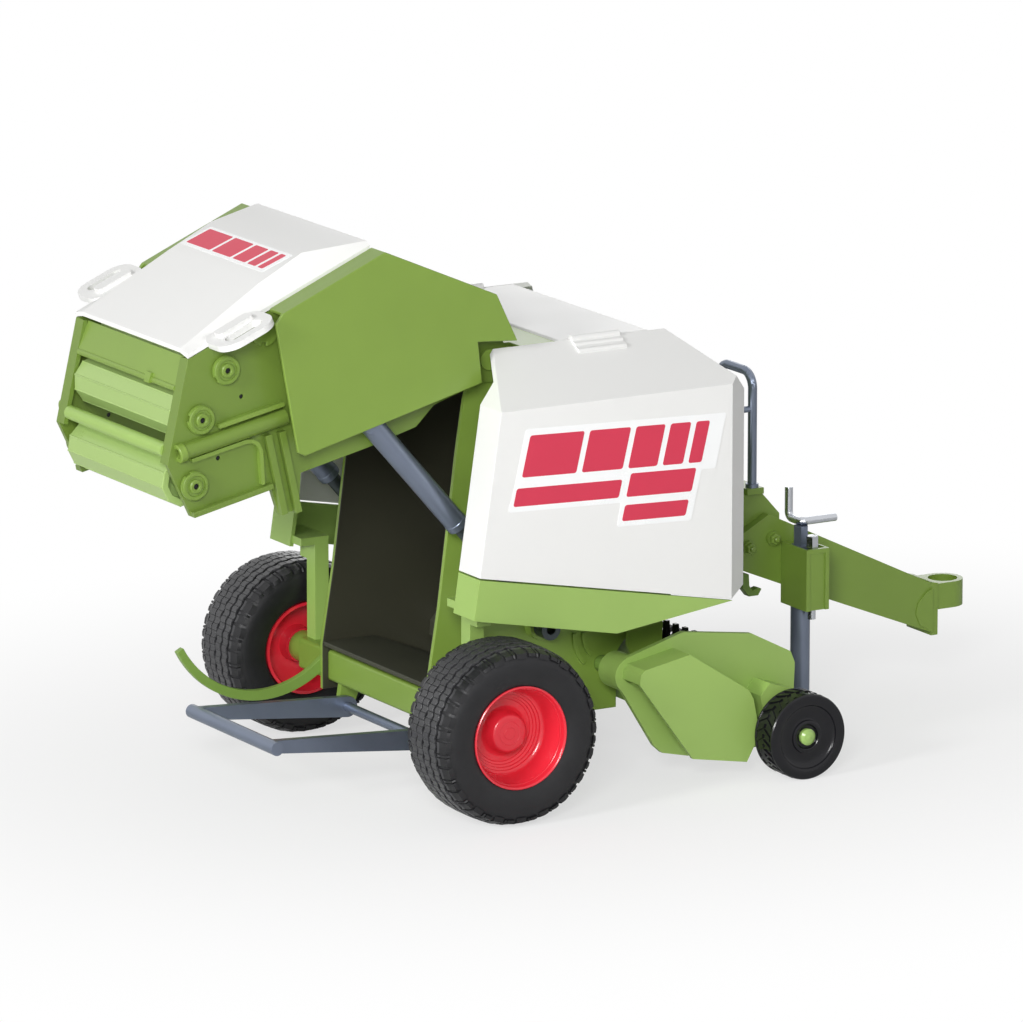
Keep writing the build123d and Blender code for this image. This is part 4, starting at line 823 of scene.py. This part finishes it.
for side_name, hand in SIDES.items():
    parts = [
        side_plate("pocket", ribbon(POCKET_RIB, 1.2), 0.25, hand, RIB_FOOT, POCKET_TOP),
        side_plate("rail", ribbon(UPPER_RAIL, 1.3), 0.25, hand, RIB_FOOT, RAIL_TOP),
        turned("collar", COLLAR_OUTLINE, at(TUBE_START[0], hand * TUBE_Y, TUBE_START[1]), tube_axis, 32),
    ]
    finish_piece(joined(f"gate_ribs_{side_name}", parts), "tailgate", GREEN)
    # painted shade: black discs in the small holes stand for the dark seen through them
    holes = [spun("shade_disc", HOLE_SHADE_DISC_OUTLINE, at(x, hand * GATE_Y, z), hand, 16) for x, z in SMALL_HOLES]
    finish_piece(joined(f"gate_hole_shades_{side_name}", holes), "tailgate", BLACK)
catch = side_plate("panel_catch", CATCH, 0.2, -1, CATCH_FROM, CATCH_TO)
finish_piece(catch, "tailgate", GREEN)
print("ribs, collar and plugs on both gate sides")

# %% [markdown]
# ## Small fittings
#
# Each cylinder's tube ends in a gland, a collar that guides the rod. Cheeks stand on the pick-up's trough,
# gussets stiffen the towing plate, and hexagon nuts with the stud's end showing hold the drawbar. The round
# ones are spun, the nut with six steps and flat faces, and the flat ones are side plates. Each rides on the
# body that it is fixed to.

# %% Cylinder glands
UPPER_PIN, LOWER_PIN = (-31.0, 119.0), (30.0, 49.0)
STRUT_TUBE, STRUT_Y = 46.5, 38.7    # length of the tube, distance from the middle
strut_axis = (at(LOWER_PIN[0], 0, LOWER_PIN[1]) - at(UPPER_PIN[0], 0, UPPER_PIN[1])).normalized()
GLAND_OUTLINE = [(-2.4, 3.3), (-2.1, 3.52), (-0.6, 3.52), (-0.35, 3.3), (-0.35, 2.75), (-2.4, 2.75)]
for side_name, hand in SIDES.items():
    end = at(UPPER_PIN[0], hand * STRUT_Y, UPPER_PIN[1]) + strut_axis * STRUT_TUBE * MM
    gland = turned(f"gland_{side_name}", GLAND_OUTLINE, end, strut_axis, 40)
    finish_piece(gland, f"cylinder_{side_name}", BLUE_GREY)
print("glands on both cylinders")

# %% Cheeks on the pick-up's trough
CHEEK = [(60.6, 35.3), (70.9, 39.5), (71.2, 46.0), (67.4, 49.4), (59.6, 47.4), (58.8, 40.0)]
CHEEK_Y, CHEEK_T = 36.0, 1.2
for side_name, hand in SIDES.items():
    cheek = side_plate(f"trough_cheek_{side_name}", CHEEK, 0.6, hand, CHEEK_Y, CHEEK_Y + CHEEK_T)
    finish_piece(cheek, "pickup", GREEN)
print("cheeks stand on the trough")

# %% Drawbar gusset
BEAM_FRONT_Y = 7.0
GUSSET_FOOT, GUSSET_TOP = BEAM_FRONT_Y - 0.6, BEAM_FRONT_Y + 0.75
GUSSET = [(187.2, 35.9), (184.6, 34.6), (181.6, 31.6), (180.9, 28.4), (182.4, 24.6), (187.2, 21.6)]
for side_name, hand in SIDES.items():
    gusset = side_plate(f"drawbar_gusset_{side_name}", GUSSET, 0.3, hand, GUSSET_FOOT, GUSSET_TOP)
    finish_piece(gusset, "chassis", GREEN)
print("gussets at the towing plate")

# %% Drawbar nuts
NUT_OUTLINE = [(-0.2, 0.6), (1.1, 0.6), (1.5, 0.75), (1.5, 1.55), (1.25, 1.8), (-0.2, 1.8)]
STUD_OUTLINE = [(0.0, 0.0), (2.2, 0.0), (2.4, 0.0), (2.4, 0.6), (2.2, 0.85), (0.0, 0.85)]
DRAWBAR_NUTS = [(116.8, 57.9), (125.4, 59.9)]
BEAM_REAR_Y, BOSS = 12.0, 1.2    # half the beam's width, and how far its bosses stand out
NUT_FACE = BEAM_REAR_Y + BOSS
for number, (x, z) in enumerate(DRAWBAR_NUTS, 1):
    for side_name, hand in SIDES.items():
        centre = at(x, hand * NUT_FACE, z)
        nut = spun(f"drawbar_nut_{number}_{side_name}", NUT_OUTLINE, centre, hand, 6)
        stud = spun("stud", STUD_OUTLINE, centre, hand, 16)
        fitted = joined(f"drawbar_nut_{number}_{side_name}", [nut, stud])
        finish_piece(fitted, "chassis", GREEN, smooth=25)
print("drawbar nuts in place")

# %% [markdown]
# ## Studio
#
# The photograph is a cut-out on white, lit softly from the toy's rear and from beside the camera. The floor
# is white paper that takes the toy's shadow. Further out, the camera sees it as plain white, which comes
# from an emission that only camera rays meet, so it adds no light to the toy. The world does the same:
# a dim even light, with a white that only the camera and the reflections see.

# %% Floor
bpy.ops.object.select_all(action="DESELECT")
bpy.ops.mesh.primitive_plane_add(size=8.0, location=(0, 0, 0))
floor = bpy.context.object
floor.name = "floor"
PAPER_TO, WHITE_FROM = 0.08, 0.36    # metres from the middle of the toy
LEAST_GLOW = 0.62
paper = Finish("paper", Base_Color=rgba(0.90, 0.90, 0.90), Roughness=0.9)
oval = paper.node(
    "ShaderNodeMapping", {"vector_type": "POINT"}, {"Vector": paper.place(), "Scale": (1.0, 1.3, 1.0)},
)
distance = paper.node("ShaderNodeVectorMath", {"operation": "LENGTH"}, {0: oval}, output=1)
far = paper.node(
    "ShaderNodeMapRange", {"interpolation_type": "SMOOTHSTEP"},
    {"Value": distance, 1: PAPER_TO, 2: WHITE_FROM, 3: LEAST_GLOW, 4: 1.0},
)
seen = paper.node("ShaderNodeLightPath", output="Is Camera Ray")
glow = paper.tree.nodes.new("ShaderNodeEmission")
glow.inputs["Color"].default_value = rgba(1.0, 1.0, 1.0)
blend = paper.tree.nodes.new("ShaderNodeMixShader")
paper.tree.links.new((far * seen).socket, blend.inputs[0])
paper.tree.links.new(paper.shader.outputs[0], blend.inputs[1])
paper.tree.links.new(glow.outputs[0], blend.inputs[2])
paper.tree.links.new(blend.outputs[0], paper.tree.nodes["Material Output"].inputs["Surface"])
floor.data.materials.append(paper.material)
print("floor laid")

# %% World
AMBIENT = 0.25
world = bpy.data.worlds.new("studio")
bpy.context.scene.world = world
world.use_nodes = True
sky = world.node_tree
background = sky.nodes["Background"]
rays = sky.nodes.new("ShaderNodeLightPath")
mirrored = sky.nodes.new("ShaderNodeMath")
mirrored.operation = "MAXIMUM"
sky.links.new(rays.outputs["Is Camera Ray"], mirrored.inputs[0])
sky.links.new(rays.outputs["Is Glossy Ray"], mirrored.inputs[1])
level = sky.nodes.new("ShaderNodeMapRange")
level.inputs["To Min"].default_value = AMBIENT
level.inputs["To Max"].default_value = 1.0
sky.links.new(mirrored.outputs[0], level.inputs["Value"])
sky.links.new(level.outputs[0], background.inputs["Strength"])
background.inputs["Color"].default_value = rgba(1.0, 1.0, 1.0)
print("even light at", AMBIENT)


# %% Lamps
def softbox(name, direction, distance, size, power):
    """A square area lamp that shines on the toy from a direction, in metres and watts."""
    lamp = bpy.data.lights.new(name, "AREA")
    lamp.size = size
    lamp.energy = power
    holder = bpy.data.objects.new(name, lamp)
    bpy.context.scene.collection.objects.link(holder)
    aim = Vector(direction).normalized()
    holder.location = aim * distance + Vector((0, 0, 0.08))
    holder.rotation_euler = aim.to_track_quat("Z", "Y").to_euler()


softbox("key", (-0.90, -0.25, 0.34), 2.0, 0.40, 18.5)
softbox("front", (-0.54, -0.75, 0.35), 1.7, 0.42, 17.5)
softbox("back", (0.60, 0.76, 0.26), 2.0, 1.0, 4.5)
print(len(bpy.data.lights), "lamps")

# %% [markdown]
# ## Camera
#
# The photograph was taken from far away with a long lens, so that the toy's parallel edges nearly stay
# parallel. The camera's direction, distance and lens were worked out from the picture's own lines.

# %% Camera
AZIMUTH = math.radians(-30.39)
ELEVATION = math.radians(12.98)
LENS_MM = 309.2
DISTANCE = 2.6436
LOOKED_AT = at(40.41, 0, 75.86)
level_part = math.cos(ELEVATION)
backward = Vector((math.sin(AZIMUTH) * level_part, -math.cos(AZIMUTH) * level_part, math.sin(ELEVATION)))
camera = bpy.data.cameras.new("camera")
camera.sensor_fit = "HORIZONTAL"
camera.sensor_width = 36.0
camera.lens = LENS_MM
camera.clip_end = 20.0
tripod = bpy.data.objects.new("camera", camera)
bpy.context.scene.collection.objects.link(tripod)
tripod.location = LOOKED_AT + backward * DISTANCE
tripod.rotation_euler = backward.to_track_quat("Z", "Y").to_euler()
bpy.context.scene.camera = tripod
bpy.context.scene.view_settings.view_transform = "Standard"
print("camera", round(DISTANCE, 2), "m away")
